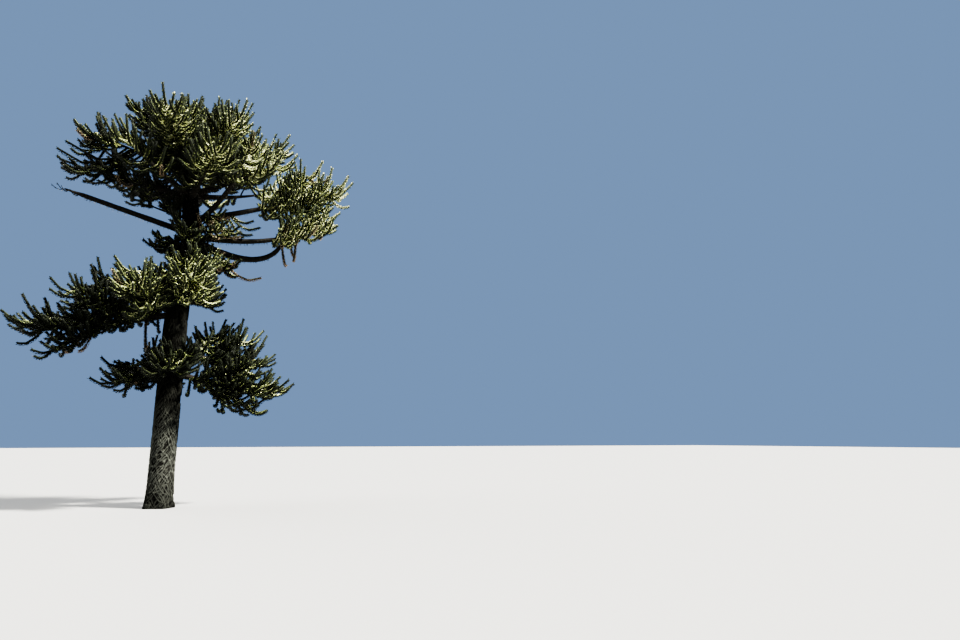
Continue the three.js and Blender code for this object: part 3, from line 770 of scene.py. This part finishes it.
def closed_grids(name, grids, attribute="relief"):
    """Several closed tubes as one smooth mesh: each is a grid of vertices, with a number for each of them."""
    walls, caps = [], []
    first = 0
    for _, values in grids:
        rows, columns = values.shape
        walls.append(grid_faces(rows, columns) + first)
        ring = first + np.arange(columns)
        caps += [ring[::-1], ring + (rows - 1) * columns]
        first += rows * columns
    vertices, values = (np.concatenate([part.reshape(-1) for part in parts]) for parts in zip(*grids))
    made = new_mesh(name, vertices.reshape(-1, 3), np.concatenate(walls), np.array(caps))
    faces = made.data.polygons
    faces.foreach_set("use_smooth", np.ones(len(faces), dtype=bool))
    layer = made.data.attributes.new(attribute, "FLOAT", "POINT")
    layer.data.foreach_set("value", values.astype(np.float32))
    return made


def tubes(points, radii, sides):
    """Grids of closed tubes: a ring of that many sides is carried along each path at its own radius.

    points is an array of tubes by rings by 3, and radii of tubes by rings. Each vertex's number tells
    how far up it faces.
    """
    left, up = sideways(unit(np.gradient(points, axis=1)))
    angle = (2 * np.pi * np.arange(sides) / sides)[:, None]
    outward = turned(left[:, :, None], up[:, :, None], angle)
    return list(zip(points[:, :, None] + radii[:, :, None, None] * outward, outward[..., 2]))


# Materials


class Paint:
    """A new material with its shader, and the nodes that work its colours out."""

    def __init__(self, name, roughness, specular):
        self.material = bpy.data.materials.new(name)
        self.material.use_nodes = True
        self.tree = self.material.node_tree
        self.shader = self.tree.nodes["Principled BSDF"]
        self.shader.inputs["Roughness"].default_value = roughness
        self.shader.inputs["Specular IOR Level"].default_value = specular
        self.place = self.node("TexCoord", "Object", {})

    def node(self, kind, output, inputs, **settings):
        """The output of a new node, whose inputs each take a socket or a value."""
        made = self.tree.nodes.new("ShaderNode" + kind)
        for name, value in settings.items():
            setattr(made, name, value)
        for name, value in inputs.items():
            if isinstance(value, bpy.types.NodeSocket):
                self.tree.links.new(value, made.inputs[name])
            else:
                made.inputs[name].default_value = value
        return made.outputs[output]

    def attribute(self, name):
        """A number that the mesh has for each vertex."""
        return self.node("Attribute", "Fac", {}, attribute_name=name)

    def noise(self, scale, detail, stretch=(1, 1, 1)):
        """A noise from 0 to 1 on Object coordinates, drawn out along an axis by a stretch under 1."""
        place = self.node("Mapping", "Vector", {"Scale": stretch, "Vector": self.place})
        return self.node("TexNoise", "Fac", {"Scale": scale, "Detail": detail, "Vector": place})

    def ramp(self, factor, *stops):
        """Colours by a factor. Each stop is a place from 0 to 1 and a colour."""
        ramp = self.tree.nodes.new("ShaderNodeValToRGB")
        elements = ramp.color_ramp.elements
        while len(elements) < len(stops):
            elements.new(0.5)
        for element, (place, colour) in zip(elements, stops):
            element.position = place
            element.color = (*colour, 1)
        self.tree.links.new(factor, ramp.inputs["Fac"])
        return ramp.outputs["Color"]

    def blend(self, factor, first, second, mode="MIX"):
        """Two colours mixed by a factor. Each is a socket or a value."""
        inputs = {"Factor": factor, "A": first, "B": second}
        return self.node("Mix", "Result", inputs, data_type="RGBA", blend_type=mode)

    def tint(self, first, second):
        """Two colours multiplied."""
        return self.blend(1.0, first, second, "MULTIPLY")

    def coat(self, colour):
        """Gives the shader its colour, and hands the material over."""
        self.tree.links.new(colour, self.shader.inputs["Base Color"])
        return self.material

    def bump(self, height, strength, distance):
        """Small relief from a height, on the shader's normal."""
        inputs = {"Strength": strength, "Distance": distance, "Height": height}
        self.tree.links.new(self.node("Bump", "Normal", inputs), self.shader.inputs["Normal"])


def bark_material(colours):
    """Ridged bark: pale grey ridges over dark furrows, whose darkness is partly the bark's own colour and
    partly painted shade, with patches of lichen and fine grain.
    """
    paint = Paint("ridged_bark", roughness=0.95, specular=0.03)
    light, dark = colours.bark_ridge, colours.bark_furrow
    relief = paint.attribute("relief")
    ridges = paint.ramp(relief, (0.08, dark), (0.38, mix(dark, light, 0.5)), (0.8, light))
    worn_away, whole = (0.82, 0.81, 0.78), (1.1, 1.09, 1.05)
    patches = paint.ramp(paint.noise(scale=3.2, detail=5), (0.35, worn_away), (0.7, whole))
    lichen = paint.ramp(paint.noise(scale=9, detail=6), (0.56, (0, 0, 0)), (0.66, (1, 1, 1)))
    worn = paint.tint(ridges, patches)
    speckled = paint.blend(lichen, worn, paint.blend(0.05, worn, (0.45, 0.47, 0.38, 1)))
    # Darker towards the foot, and above about 2.5 m darker again: there partly painted shade from the crown
    # and partly the bark's own darker colour
    height = paint.node("SeparateXYZ", "Z", {"Vector": paint.place})
    up_the_trunk = paint.node("MapRange", "Result", {"From Max": 3.6, "Value": height})
    foot, lit, shaded = (0.28, 0.28, 0.27), (1, 1, 1), (0.2, 0.195, 0.185)
    dim = paint.ramp(up_the_trunk, (0, foot), (0.38, lit), (0.7, lit), (1, shaded))
    paint.bump(paint.noise(scale=55, detail=6, stretch=(1, 1, 0.35)), strength=0.5, distance=0.012)
    return paint.coat(paint.tint(speckled, dim))


def bough_material(colours, name):
    """Scaly bough bark: brown-grey, darker in its furrows, with rings of old leaf scars. Its dark colour is
    partly painted shade.
    """
    paint = Paint(name, roughness=0.9, specular=0.06)
    scars = paint.ramp(paint.attribute("relief"), (0.1, colours.bough * 0.3), (0.8, colours.bough))
    worn_away, whole = (0.6, 0.58, 0.55), (1.2, 1.15, 1.05)
    patches = paint.ramp(paint.noise(scale=7, detail=4), (0.3, worn_away), (0.75, whole))
    paint.bump(paint.noise(scale=90, detail=4), strength=0.4, distance=0.006)
    return paint.coat(paint.tint(scars, patches))


def needle_material(name, colour):
    """Stiff leathery leaves: one colour for the spray, a little lighter and darker from leaf to leaf."""
    paint = Paint(name, roughness=0.5, specular=0.1)
    leaves = paint.noise(scale=38, detail=2)
    return paint.coat(paint.ramp(leaves, (0.25, colour * 0.6), (0.75, colour * 1.4)))


def shoot_material(name, colour, top):
    """The foot of the leaves that clothe a shoot: painted light makes the upper side lighter, and it is
    patchy from leaf to leaf.
    """
    paint = Paint(name, roughness=0.7, specular=0.06)
    sides = paint.ramp(paint.attribute("upper"), (0.3, colour), (0.85, top))
    scales = paint.ramp(paint.noise(scale=30, detail=3), (0.3, (0.5, 0.5, 0.5)), (0.7, (1, 1, 1)))
    return paint.coat(paint.tint(sides, scales))


# Bark


def lattice_noise(u, v, period, channel):
    """Smooth noise from 0 to 1: a chance at each whole u and v, eased between them, that repeats along u."""
    low_u, low_v = np.floor(u), np.floor(v)
    part_u, part_v = u - low_u, v - low_v
    ease_u = part_u**2 * (3 - 2 * part_u)
    ease_v = part_v**2 * (3 - 2 * part_v)
    corners = [[chance((low_u + i) % period, low_v + j, channel) for i in (0, 1)] for j in (0, 1)]
    return mix(mix(*corners[0], ease_u), mix(*corners[1], ease_u), ease_v)


def strands(angle, z, kind):
    """Ridges of one width that wind, part and join, on a grid of heights by angles.

    They follow the lines where a noise drawn out along a slant has its middle value. How far a place is from
    such a line is the noise's distance from that value, divided by its slope there.
    """
    around = kind.number * angle / (2 * np.pi)
    slow = kind.number / WARP_SHARE
    warp = lattice_noise(around / WARP_SHARE, z * WARP_STRETCH, slow, kind.channel + 1)
    value = lattice_noise(around - kind.slant * z + warp, z * kind.stretch, kind.number, kind.channel)
    upward, onward = np.gradient(value, z[:, 0], angle[0])
    slope = np.maximum(np.hypot(upward, onward / TRUNK_RADIUS), STRAND_LEAST_SLOPE)
    return np.exp(-(((value - 0.5) / slope / kind.width) ** 2))


def trunk_relief(angle, z):
    """The trunk's ridges from 0 to 1: strands that wind up to the right, and on one side up to the left."""
    wide, slim, crossed = (strands(angle, z, kind) for kind in (WIDE_STRANDS, SLIM_STRANDS, CROSSED_STRANDS))
    side = (0.5 + 0.5 * np.cos(angle - CROSSED_SIDE)) ** 2
    wound = np.maximum(wide, SLIM_SHARE * slim) * (1 - WOUND_AWAY * side)
    net = np.maximum(wound, crossed * mix(CROSSED_LEAST, 1, side))
    return net * mix(1, SOFT_SHARE, 1 / (1 + np.exp(-(z - SOFT_HEIGHT) / SOFT_SPREAD)))


def make_trunk(sizes, colours):
    """The trunk: a grid of heights by angles. Its radius is the taper times the root flare, plus ridges."""
    z, angle = np.meshgrid(
        TRUNK_TOP * np.linspace(0, 1, TRUNK_ROWS) ** ROW_CROWDING,
        2 * np.pi * np.arange(TRUNK_COLUMNS) / TRUNK_COLUMNS,
        indexing="ij",
    )
    lobes = 1 - LOBE_SHARE + LOBE_SHARE * np.cos(FLARE_LOBES * angle)
    flare = 1 + FLARE_SHARE * lobes * np.exp(-z / FLARE_HEIGHT)
    relief = trunk_relief(angle, z)
    depth = sizes.ridge_depth * np.clip((TRUNK_TOP - z) / RIDGE_FADE, RIDGE_LEAST, 1)
    radius = trunk_radius(z) * flare + depth * (relief - 0.5)
    outward = np.stack([np.cos(angle), np.sin(angle), np.zeros_like(z)], axis=-1)
    vertices = trunk_axis(z) + radius[..., None] * outward
    made = closed_grids("trunk_bark", [(vertices, relief)])
    finish_piece(made, bark_material(colours), "bark", "trunk")


def bough_radius(limb, distance):
    """A limb's radius: the bare bough's own taper, then a quicker one inside the foliage."""
    bare = limb.length * limb.bare
    inside = np.clip((distance - bare) / (limb.length - bare), 0, 1)
    full = limb_radius(limb, np.minimum(distance, max(bare, BOUGH_LEAST_BARE)))
    return mix(full * BOUGH_FULLER.get(limb.name, 1), STEM_TIP, inside**STEM_POWER)


def twig_radius(twig, distance):
    """A twig's radius: an even taper."""
    return mix(TWIG_ROUND, TWIG_TIP, distance / twig.end)


def bough_grid(curve, start, end, radius_at, columns):
    """A limb as a grid of places along it by angles round it, with scale-like relief: vertices and relief."""
    rows = max(BOUGH_LEAST_ROWS, round((end - start) / BOUGH_STEP))
    distance, angle = np.meshgrid(
        np.linspace(start, end, rows), 2 * np.pi * np.arange(columns) / columns, indexing="ij"
    )
    point, direction, level = curve.at(distance)
    depth, around, along = SCAR_WARP
    warp = depth * np.sin(around * angle + along * distance)
    one, other = (np.sin(SCARS_ROUND * angle + slant * distance + warp) for slant in SCARS_ALONG)
    relief = 0.5 + 0.5 * one * other
    radius = radius_at(distance) * (SCAR_RADIUS + SCAR_RISE * relief)
    return point + radius[..., None] * turned(level, np.cross(direction, level), angle[..., None]), relief


def make_boughs(colours):
    """Each limb from inside the trunk to the end of its stem, as a round path with the limb's own taper."""
    grids = []
    for limb, curve in zip(LIMBS, CURVES):
        start = BOUGH_START * trunk_radius(limb.height) if limb.height < TRUNK_TOP else 0
        grids.append(bough_grid(curve, start, limb.length, partial(bough_radius, limb), BOUGH_COLUMNS))
    finish_piece(closed_grids("boughs", grids), bough_material(colours, "scaly_bough"), "bark", *BOUGH_NODES)


# Needles


def painted_light_of(shoots):
    """How much painted light each shoot gets: higher where it is high, outside, to the right, in front and
    sunny, with some spread at random.
    """
    across, deep, height = shoots.tips.T
    middle = trunk_axis(height)
    out = np.linalg.norm((shoots.tips - middle)[:, :2], axis=-1)
    lift = unit(shoots.tips - shoots.feet)[:, 2]
    side = (across - middle[:, 0]) / TONE_RIGHT - deep / TONE_FRONT
    (high, lighter), (low, shadier) = TONE_HIGH, TONE_LOW
    level = np.where(height > high, lighter, 0) - np.where(height < low, shadier, 0)
    sunny = np.where(shoots.seeds >= CURLED_SEED, PALE_SHOOT, by_limb(SUNNY_LIMBS, 0, shoots))
    spread = TONE_SPREAD * chance(shoots.seeds, 5, 1)
    return TONE_OUT * out + TONE_LIFT * lift + TONE_SIDE * side + level + sunny + spread


def dry_rows(shoots):
    """True for the shoots that are dry and brown."""
    return (chance(shoots.seeds, 6, 1) < by_limb(DRY_LIMBS, DRY_SHARE, shoots)) | (shoots.seeds < 0)


def kites(name, leaves):
    """Leaves as one mesh: each is a kite of two faces, folded along the middle, from its foot to its tip."""
    side = np.cross(leaves.faces, leaves.runs) * leaves.widths / 2
    whole = leaves.runs * leaves.lengths
    middle = leaves.feet + whole * LEAF_WIDEST + leaves.faces * leaves.widths * LEAF_FOLD
    vertices = np.stack([leaves.feet, middle - side, leaves.feet + whole, middle + side], axis=1)
    first = 4 * np.arange(len(whole))[:, None]
    return new_mesh(name, vertices.reshape(-1, 3), np.concatenate([first + [0, 1, 2], first + [0, 2, 3]]))


def leaf_piece(name, leaves, colour, slot, nodes):
    """Leaves of one colour as a finished piece."""
    finish_piece(kites(name, leaves), needle_material(name, colour), slot, *nodes)


def dealt_along(lengths, per_metre):
    """Leaves dealt out along paths: the row of each one's path, its count on it and its share of the way."""
    number = np.maximum(LEAST_LEAVES, np.round(lengths * per_metre).astype(int))
    row = np.repeat(np.arange(len(number)), number)
    count = np.arange(number.sum()) - np.repeat(np.cumsum(number) - number, number)
    return row, count, (count + 0.5) / number[row]


def leaves_on(shoots, sizes, share_of_number=1.0, share_of_core=1.0):
    """The row of each leaf's shoot, its share of the way along it, and the leaves all round many shoots.

    Each stands on its shoot's core, a golden angle from the last, and leans forward, most at the tip.
    """
    row, count, share = dealt_along(lengths_of(shoots), sizes.leaves_per_metre * share_of_number)
    many = picked(shoots, row)
    forward = sag_direction(many, share, sizes.sag)
    left, up = sideways(forward)
    radial = turned(left, up, (LEAF_TURN * count + LEAF_START * chance(many.seeds, 0, 7))[:, None])
    opening = mix(*LEAF_OPEN, share**3) + LEAF_OPEN_SPREAD * (2 * chance(many.seeds, count, 8) - 1)
    lean = np.radians(opening)[:, None]
    run, face = turned(forward, radial, lean), turned(radial, -forward, lean)
    size = (mix(*LEAF_SIZES, chance(many.seeds, count, 9)) * (1 - LEAF_SHORTER * share**4))[:, None]
    core = mix(*CORE_RADII, share)[:, None] * LEAF_SEAT * share_of_core
    foot = sag_curve(many, share, sizes.sag) + radial * core
    return row, share, Leaves(foot, run, face, sizes.leaf_length * size, sizes.leaf_width * size)


def make_old_leaves(sizes, colours):
    """Dry leaves on the bare boughs, longest on the underside, and on the trunk among the upper boughs."""
    found = []
    bare = [(limb, curve) for limb, curve in zip(LIMBS, CURVES) if limb.bare]
    for number, (limb, curve) in enumerate(bare):
        start = trunk_radius(limb.height)
        reach = limb.length * limb.bare - start
        _, count, share = dealt_along(np.array([reach]), sizes.old_leaves_per_metre)
        distance = start + share * reach
        point, forward, level = curve.at(distance)
        radial = turned(level, np.cross(forward, level), (LEAF_TURN * count)[:, None])
        lean = np.radians(mix(*OLD_LEAF_OPEN, chance(number, count, 3)))[:, None]
        size = mix(*OLD_LEAF_SIZES, chance(number, count, 4)) * (1 - OLD_LEAF_UNDER * (1 + radial[:, 2]))
        foot = point + radial * limb_radius(limb, distance)[:, None] * OLD_LEAF_SEAT
        found.append((foot, turned(forward, radial, lean), turned(radial, -forward, lean), size))
    low, high = TRUNK_LEAF_HEIGHTS
    _, count, share = dealt_along(np.array([high - low]), sizes.old_leaves_per_metre)
    z = mix(low, high, share)
    radial = heading(np.degrees(LEAF_TURN * count), np.zeros_like(z))
    rise = np.radians(mix(*TRUNK_LEAF_RISES, chance(TRUNK_LEAF_SEED, count, 3)))[:, None]
    upward = np.array([0, 0, 1.0])
    size = mix(*OLD_LEAF_SIZES, chance(TRUNK_LEAF_SEED, count, 4))
    foot = trunk_axis(z) + radial * trunk_radius(z)[:, None] * TRUNK_LEAF_SEAT
    found.append((foot, turned(radial, upward, rise), turned(upward, -radial, rise), size))
    foot, run, face, size = (np.concatenate(parts) for parts in zip(*found))
    size = size[:, None]
    leaves = Leaves(foot, run, face, sizes.old_leaf_length * size, sizes.old_leaf_width * size)
    leaf_piece("old_leaves", leaves, colours.old_leaves, "bark", BOUGH_NODES)


def make_needles(sizes, colours):
    """The leaves of the crown, dealt into one piece for each tone of painted light and shade: lighter on the
    upper side of a shoot.
    """
    shoots = crown(sizes.sag)
    row, share, leaves = leaves_on(shoots, sizes)
    dry = dry_rows(shoots)[row]
    # Painted light: a leaf is lighter where its shoot is lit and on the upper side of it, and painted shade
    # darkens the tips
    score = painted_light_of(shoots)[row] + UPPER_SIDE * leaves.faces[:, 2] - TIP_SHADE * share**3
    limits = np.quantile(score[~dry], np.cumsum((0, *LIVE_SHARES)))
    limits[0] -= 1
    for tone, low, high in zip(LIVE_TONES, limits, limits[1:]):
        name = f"needles_{tone}"
        chosen = picked(leaves, ~dry & (score > low) & (score <= high))
        leaf_piece(name, chosen, getattr(colours, name), "foliage", FOLIAGE_NODES)
    leaf_piece("needles_dry", picked(leaves, dry), colours.needles_dry, "dry_foliage", FOLIAGE_NODES)


def make_cores(name, shoots, sizes, material, share_of_core=1.0):
    """The core of every shoot, as one mesh of slim tubes along their sagging curves."""
    spread = Shoots(*(np.repeat(part[:, None], CORE_RINGS, axis=1) for part in shoots))
    share = np.broadcast_to(np.linspace(0, 1, CORE_RINGS), spread.limbs.shape)
    radii = share_of_core * mix(*CORE_RADII, share)
    made = closed_grids(name, tubes(sag_curve(spread, share, sizes.sag), radii, CORE_SIDES), "upper")
    finish_piece(made, material, "foliage", *FOLIAGE_NODES)


def make_shoots(sizes, colours):
    """The cores of the leafy shoots, in two tones of painted light, shaded and lit, and the dead shoots with
    a few dry leaves on them.
    """
    shoots = crown(sizes.sag)
    score = painted_light_of(shoots)
    # Painted light: the cores of the better lit half of the shoots are lit, the others shaded
    lit = score > np.median(score)
    for name, rows in (("shoots_shade", ~lit), ("shoots_lit", lit)):
        material = shoot_material(name, getattr(colours, name), getattr(colours, name + "_top"))
        make_cores(name, picked(shoots, rows), sizes, material)
    bare = limb_twigs(dead=True)
    dead = joined([shoots_on(twig, MAIN) for twig in bare] + [end_shoot(twig) for twig in bare])
    make_cores("dead_shoots", dead, sizes, bough_material(colours, "dead_shoot"), DEAD_CORE)
    leaves = leaves_on(dead, sizes, DEAD_LEAVES, DEAD_CORE)[2]
    leaf_piece("dead_leaves", leaves, colours.old_leaves, "dry_foliage", ["foliage_bare_left"])


def make_twigs(colours):
    """The twigs that carry the shoots: round paths that narrow evenly from the stem."""
    grids = [
        bough_grid(twig.curve, 0, twig.end, partial(twig_radius, twig), TWIG_COLUMNS)
        for twig in twigs()
        if twig.start == 0 and twig.roll
    ]
    finish_piece(closed_grids("twigs", grids), bough_material(colours, "scaly_twig"), "bark", *FOLIAGE_NODES)


# Stage


def make_stage(stage):
    """A pale floor, a sun from the right in front, a soft fill from behind, an even sky and the camera."""
    size = stage.floor_size / 2
    corners = size * np.array([[-1, -1, 0], [1, -1, 0], [1, 1, 0], [-1, 1, 0]])
    floor = new_mesh("floor", corners, np.array([[0, 1, 2, 3]]))
    paint = Paint("floor", roughness=0.9, specular=0.1)
    paint.shader.inputs["Base Color"].default_value = (*stage.floor_colour, 1)
    floor.data.materials.append(paint.material)
    scene = bpy.context.scene
    scene.world = bpy.data.worlds.new("sky")
    scene.world.use_nodes = True
    background = scene.world.node_tree.nodes["Background"]
    background.inputs["Color"].default_value = (*stage.sky_colour, 1)
    background.inputs["Strength"].default_value = stage.sky_strength
    scene.view_settings.look = "AgX - Medium High Contrast"
    for name, strength, width, turn in (
        ("sun", stage.sun_strength, stage.sun_width, stage.sun_turn),
        ("fill", stage.fill_strength, stage.fill_width, stage.sun_turn + math.pi),
    ):
        lamp = bpy.data.lights.new(name, "SUN")
        lamp.energy, lamp.angle, lamp.color = strength, width, stage.sun_colour
        add_to_scene(name, lamp).rotation_euler = (stage.sun_tilt, 0, turn)
    lens = bpy.data.cameras.new("camera")
    lens.sensor_width = SENSOR
    lens.lens = FOCAL_PIXELS / IMAGE_WIDTH * SENSOR
    lens.clip_end = VIEW_REACH
    scene.camera = add_to_scene("camera", lens)
    scene.camera.location = CAMERA_PLACE
    scene.camera.rotation_euler = (math.radians(90 + CAMERA_PITCH), 0, -math.radians(CAMERA_TURN))


# What a user can change


def setting(kind, name, description, default, **limits):
    """A size, colour or number that a user can change."""
    return kind(name=name, description=description, default=default, **limits)


a_length = partial(setting, FloatProperty, min=0, unit="LENGTH", precision=4)
a_colour = partial(setting, FloatVectorProperty, size=3, min=0, max=1, subtype="COLOR")
an_angle = partial(setting, FloatProperty, subtype="ANGLE")
a_number = partial(setting, FloatProperty, min=0)
a_count = partial(setting, IntProperty, min=1)


class BarkSizes(bpy.types.PropertyGroup):
    """Sizes of the bark."""

    ridge_depth: a_length("Ridge depth", "From the trunk's furrows to the tops of its ridges", 0.05)


class ShootSizes(bpy.types.PropertyGroup):
    """Sizes of the shoots and their leaves."""

    leaf_length: a_length("Leaf length", "A needle leaf from its foot to its tip", 0.072)
    leaf_width: a_length("Leaf width", "A needle leaf at its widest", 0.047)
    leaves_per_metre: a_count("Leaves per metre", "Needle leaves on a metre of shoot", 88)
    old_leaf_length: a_length("Old leaf length", "A dry leaf on a bare bough", 0.125)
    old_leaf_width: a_length("Old leaf width", "A dry leaf at its widest", 0.066)
    old_leaves_per_metre: a_count("Old leaves per metre", "Dry leaves on a metre of bare bough", 100)
    sag: a_number("Sag", "How far a shoot hangs below a straight line, as a share of its length", 0.24)


class TreeColours(bpy.types.PropertyGroup):
    """Colours of the bark and the foliage."""

    bark_ridge: a_colour("Bark ridges", "The tops of the trunk's ridges", (0.033, 0.0355, 0.031))
    # The furrows' darkness is partly the bark's own colour and partly painted shade
    bark_furrow: a_colour("Bark furrows", "Between the trunk's ridges", (0.0022, 0.0022, 0.0019))
    # Partly painted shade: the bough bark is dark, as the boughs stand in the crown's shade
    bough: a_colour("Bough bark", "The boughs between their scars", (0.011, 0.0102, 0.009))
    old_leaves: a_colour("Old leaves", "On the bare boughs", (0.012, 0.0115, 0.009))
    # Painted light and shade: the cores of the inner shoots are shaded and those of the outer shoots sunlit,
    # each lighter on its upper side where the light falls
    shoots_shade: a_colour("Shaded shoots", "The underside of the inner shoots", (0.0035, 0.0047, 0.0022))
    shoots_shade_top: a_colour("Shaded tops", "The upper side of the inner shoots", (0.035, 0.043, 0.015))
    shoots_lit: a_colour("Sunlit shoots", "The underside of the outer shoots", (0.01, 0.013, 0.006))
    shoots_lit_top: a_colour("Sunlit tops", "The upper side of the outer shoots", (0.33, 0.37, 0.14))
    # Painted light and shade: each live leaf takes one of these five tones, from shaded to sunlit, by how
    # much light would fall on it
    needles_shade: a_colour("Shaded needles", "Under and inside the crown", (0.0045, 0.006, 0.0028))
    needles_deep: a_colour("Deep needles", "The undersides of most shoots", (0.011, 0.015, 0.0062))
    needles_mid: a_colour("Middle needles", "The sides of most shoots", (0.038, 0.05, 0.017))
    needles_olive: a_colour("Olive needles", "The upper sides of most shoots", (0.24, 0.28, 0.1))
    needles_sun: a_colour("Sunlit needles", "On top, in front and on the right", (0.68, 0.7, 0.38))
    needles_dry: a_colour("Dry needles", "Dead sprays", (0.15, 0.11, 0.07))


class StageSettings(bpy.types.PropertyGroup):
    """The floor and the light."""

    floor_size: a_length("Floor size", "Each side of the floor", 400)
    floor_colour: a_colour("Floor colour", "The plain pale floor", (0.2, 0.2, 0.195))
    sky_colour: a_colour("Sky colour", "The even light from all round", (0.36, 0.58, 1.0))
    sky_strength: a_number("Sky strength", "Strength of the even light", 0.5)
    sun_colour: a_colour("Sun colour", "The light from the right", (1.0, 0.97, 0.9))
    sun_strength: a_number("Sun strength", "Strength of the sun", 42)
    sun_width: an_angle("Sun width", "How soft its shadows are", 0.12)
    sun_tilt: an_angle("Sun tilt", "From straight above", 0.76)
    sun_turn: an_angle("Sun turn", "From in front to the right", 0.92)
    fill_strength: a_number("Fill strength", "The soft light from behind", 9)
    fill_width: an_angle("Fill width", "How soft that light is", 1.2)


# Operators


class TREE_OT_stage(bpy.types.Operator):
    """Set up the floor, the light and the camera"""

    bl_idname = "monkey_puzzle.stage"
    bl_label = "Set the stage"

    def execute(self, context):
        make_stage(context.scene.monkey_puzzle_stage)
        return {"FINISHED"}


class TREE_OT_trunk(bpy.types.Operator):
    """Make the trunk with its ridged bark"""

    bl_idname = "monkey_puzzle.trunk"
    bl_label = "Make the trunk"

    def execute(self, context):
        make_trunk(context.scene.monkey_puzzle_bark, context.scene.monkey_puzzle_colours)
        return {"FINISHED"}


class TREE_OT_boughs(bpy.types.Operator):
    """Make the boughs and the twigs"""

    bl_idname = "monkey_puzzle.boughs"
    bl_label = "Make the boughs"

    def execute(self, context):
        colours = context.scene.monkey_puzzle_colours
        make_boughs(colours)
        make_twigs(colours)
        make_old_leaves(context.scene.monkey_puzzle_shoots, colours)
        return {"FINISHED"}


class TREE_OT_shoots(bpy.types.Operator):
    """Make the cores of the shoots"""

    bl_idname = "monkey_puzzle.shoots"
    bl_label = "Make the shoots"

    def execute(self, context):
        make_shoots(context.scene.monkey_puzzle_shoots, context.scene.monkey_puzzle_colours)
        return {"FINISHED"}


class TREE_OT_needles(bpy.types.Operator):
    """Make the needle leaves on the shoots"""

    bl_idname = "monkey_puzzle.needles"
    bl_label = "Make the needles"

    def execute(self, context):
        make_needles(context.scene.monkey_puzzle_shoots, context.scene.monkey_puzzle_colours)
        return {"FINISHED"}


OPERATORS = (TREE_OT_stage, TREE_OT_trunk, TREE_OT_boughs, TREE_OT_shoots, TREE_OT_needles)
GROUPS = {
    "monkey_puzzle_bark": BarkSizes,
    "monkey_puzzle_shoots": ShootSizes,
    "monkey_puzzle_colours": TreeColours,
    "monkey_puzzle_stage": StageSettings,
}


class TREE_PT_panel(bpy.types.Panel):
    """The tree's sizes, colours and steps"""

    bl_idname = "TREE_PT_panel"
    bl_label = "Monkey puzzle tree"
    bl_space_type = "VIEW_3D"
    bl_region_type = "UI"
    bl_category = "Tree"

    def draw(self, context):
        for name, group in GROUPS.items():
            box = self.layout.box()
            for key in group.__annotations__:
                box.prop(getattr(context.scene, name), key)
        for operator in OPERATORS:
            self.layout.operator(operator.bl_idname)


def register():
    """Registers the classes and puts the settings on the scene."""
    for cls in (*GROUPS.values(), *OPERATORS, TREE_PT_panel):
        bpy.utils.register_class(cls)
    for name, group in GROUPS.items():
        setattr(bpy.types.Scene, name, PointerProperty(type=group))


def unregister():
    """Takes the settings and the classes away again."""
    for name in GROUPS:
        delattr(bpy.types.Scene, name)
    for cls in (TREE_PT_panel, *reversed(OPERATORS), *reversed(GROUPS.values())):
        bpy.utils.unregister_class(cls)


def main():
    """Makes the whole scene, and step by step."""
    register()
    bpy.ops.monkey_puzzle.stage()
    bpy.ops.monkey_puzzle.trunk()
    bpy.ops.monkey_puzzle.boughs()
    bpy.ops.monkey_puzzle.shoots()
    bpy.ops.monkey_puzzle.needles()


if __name__ == "__main__":
    main()
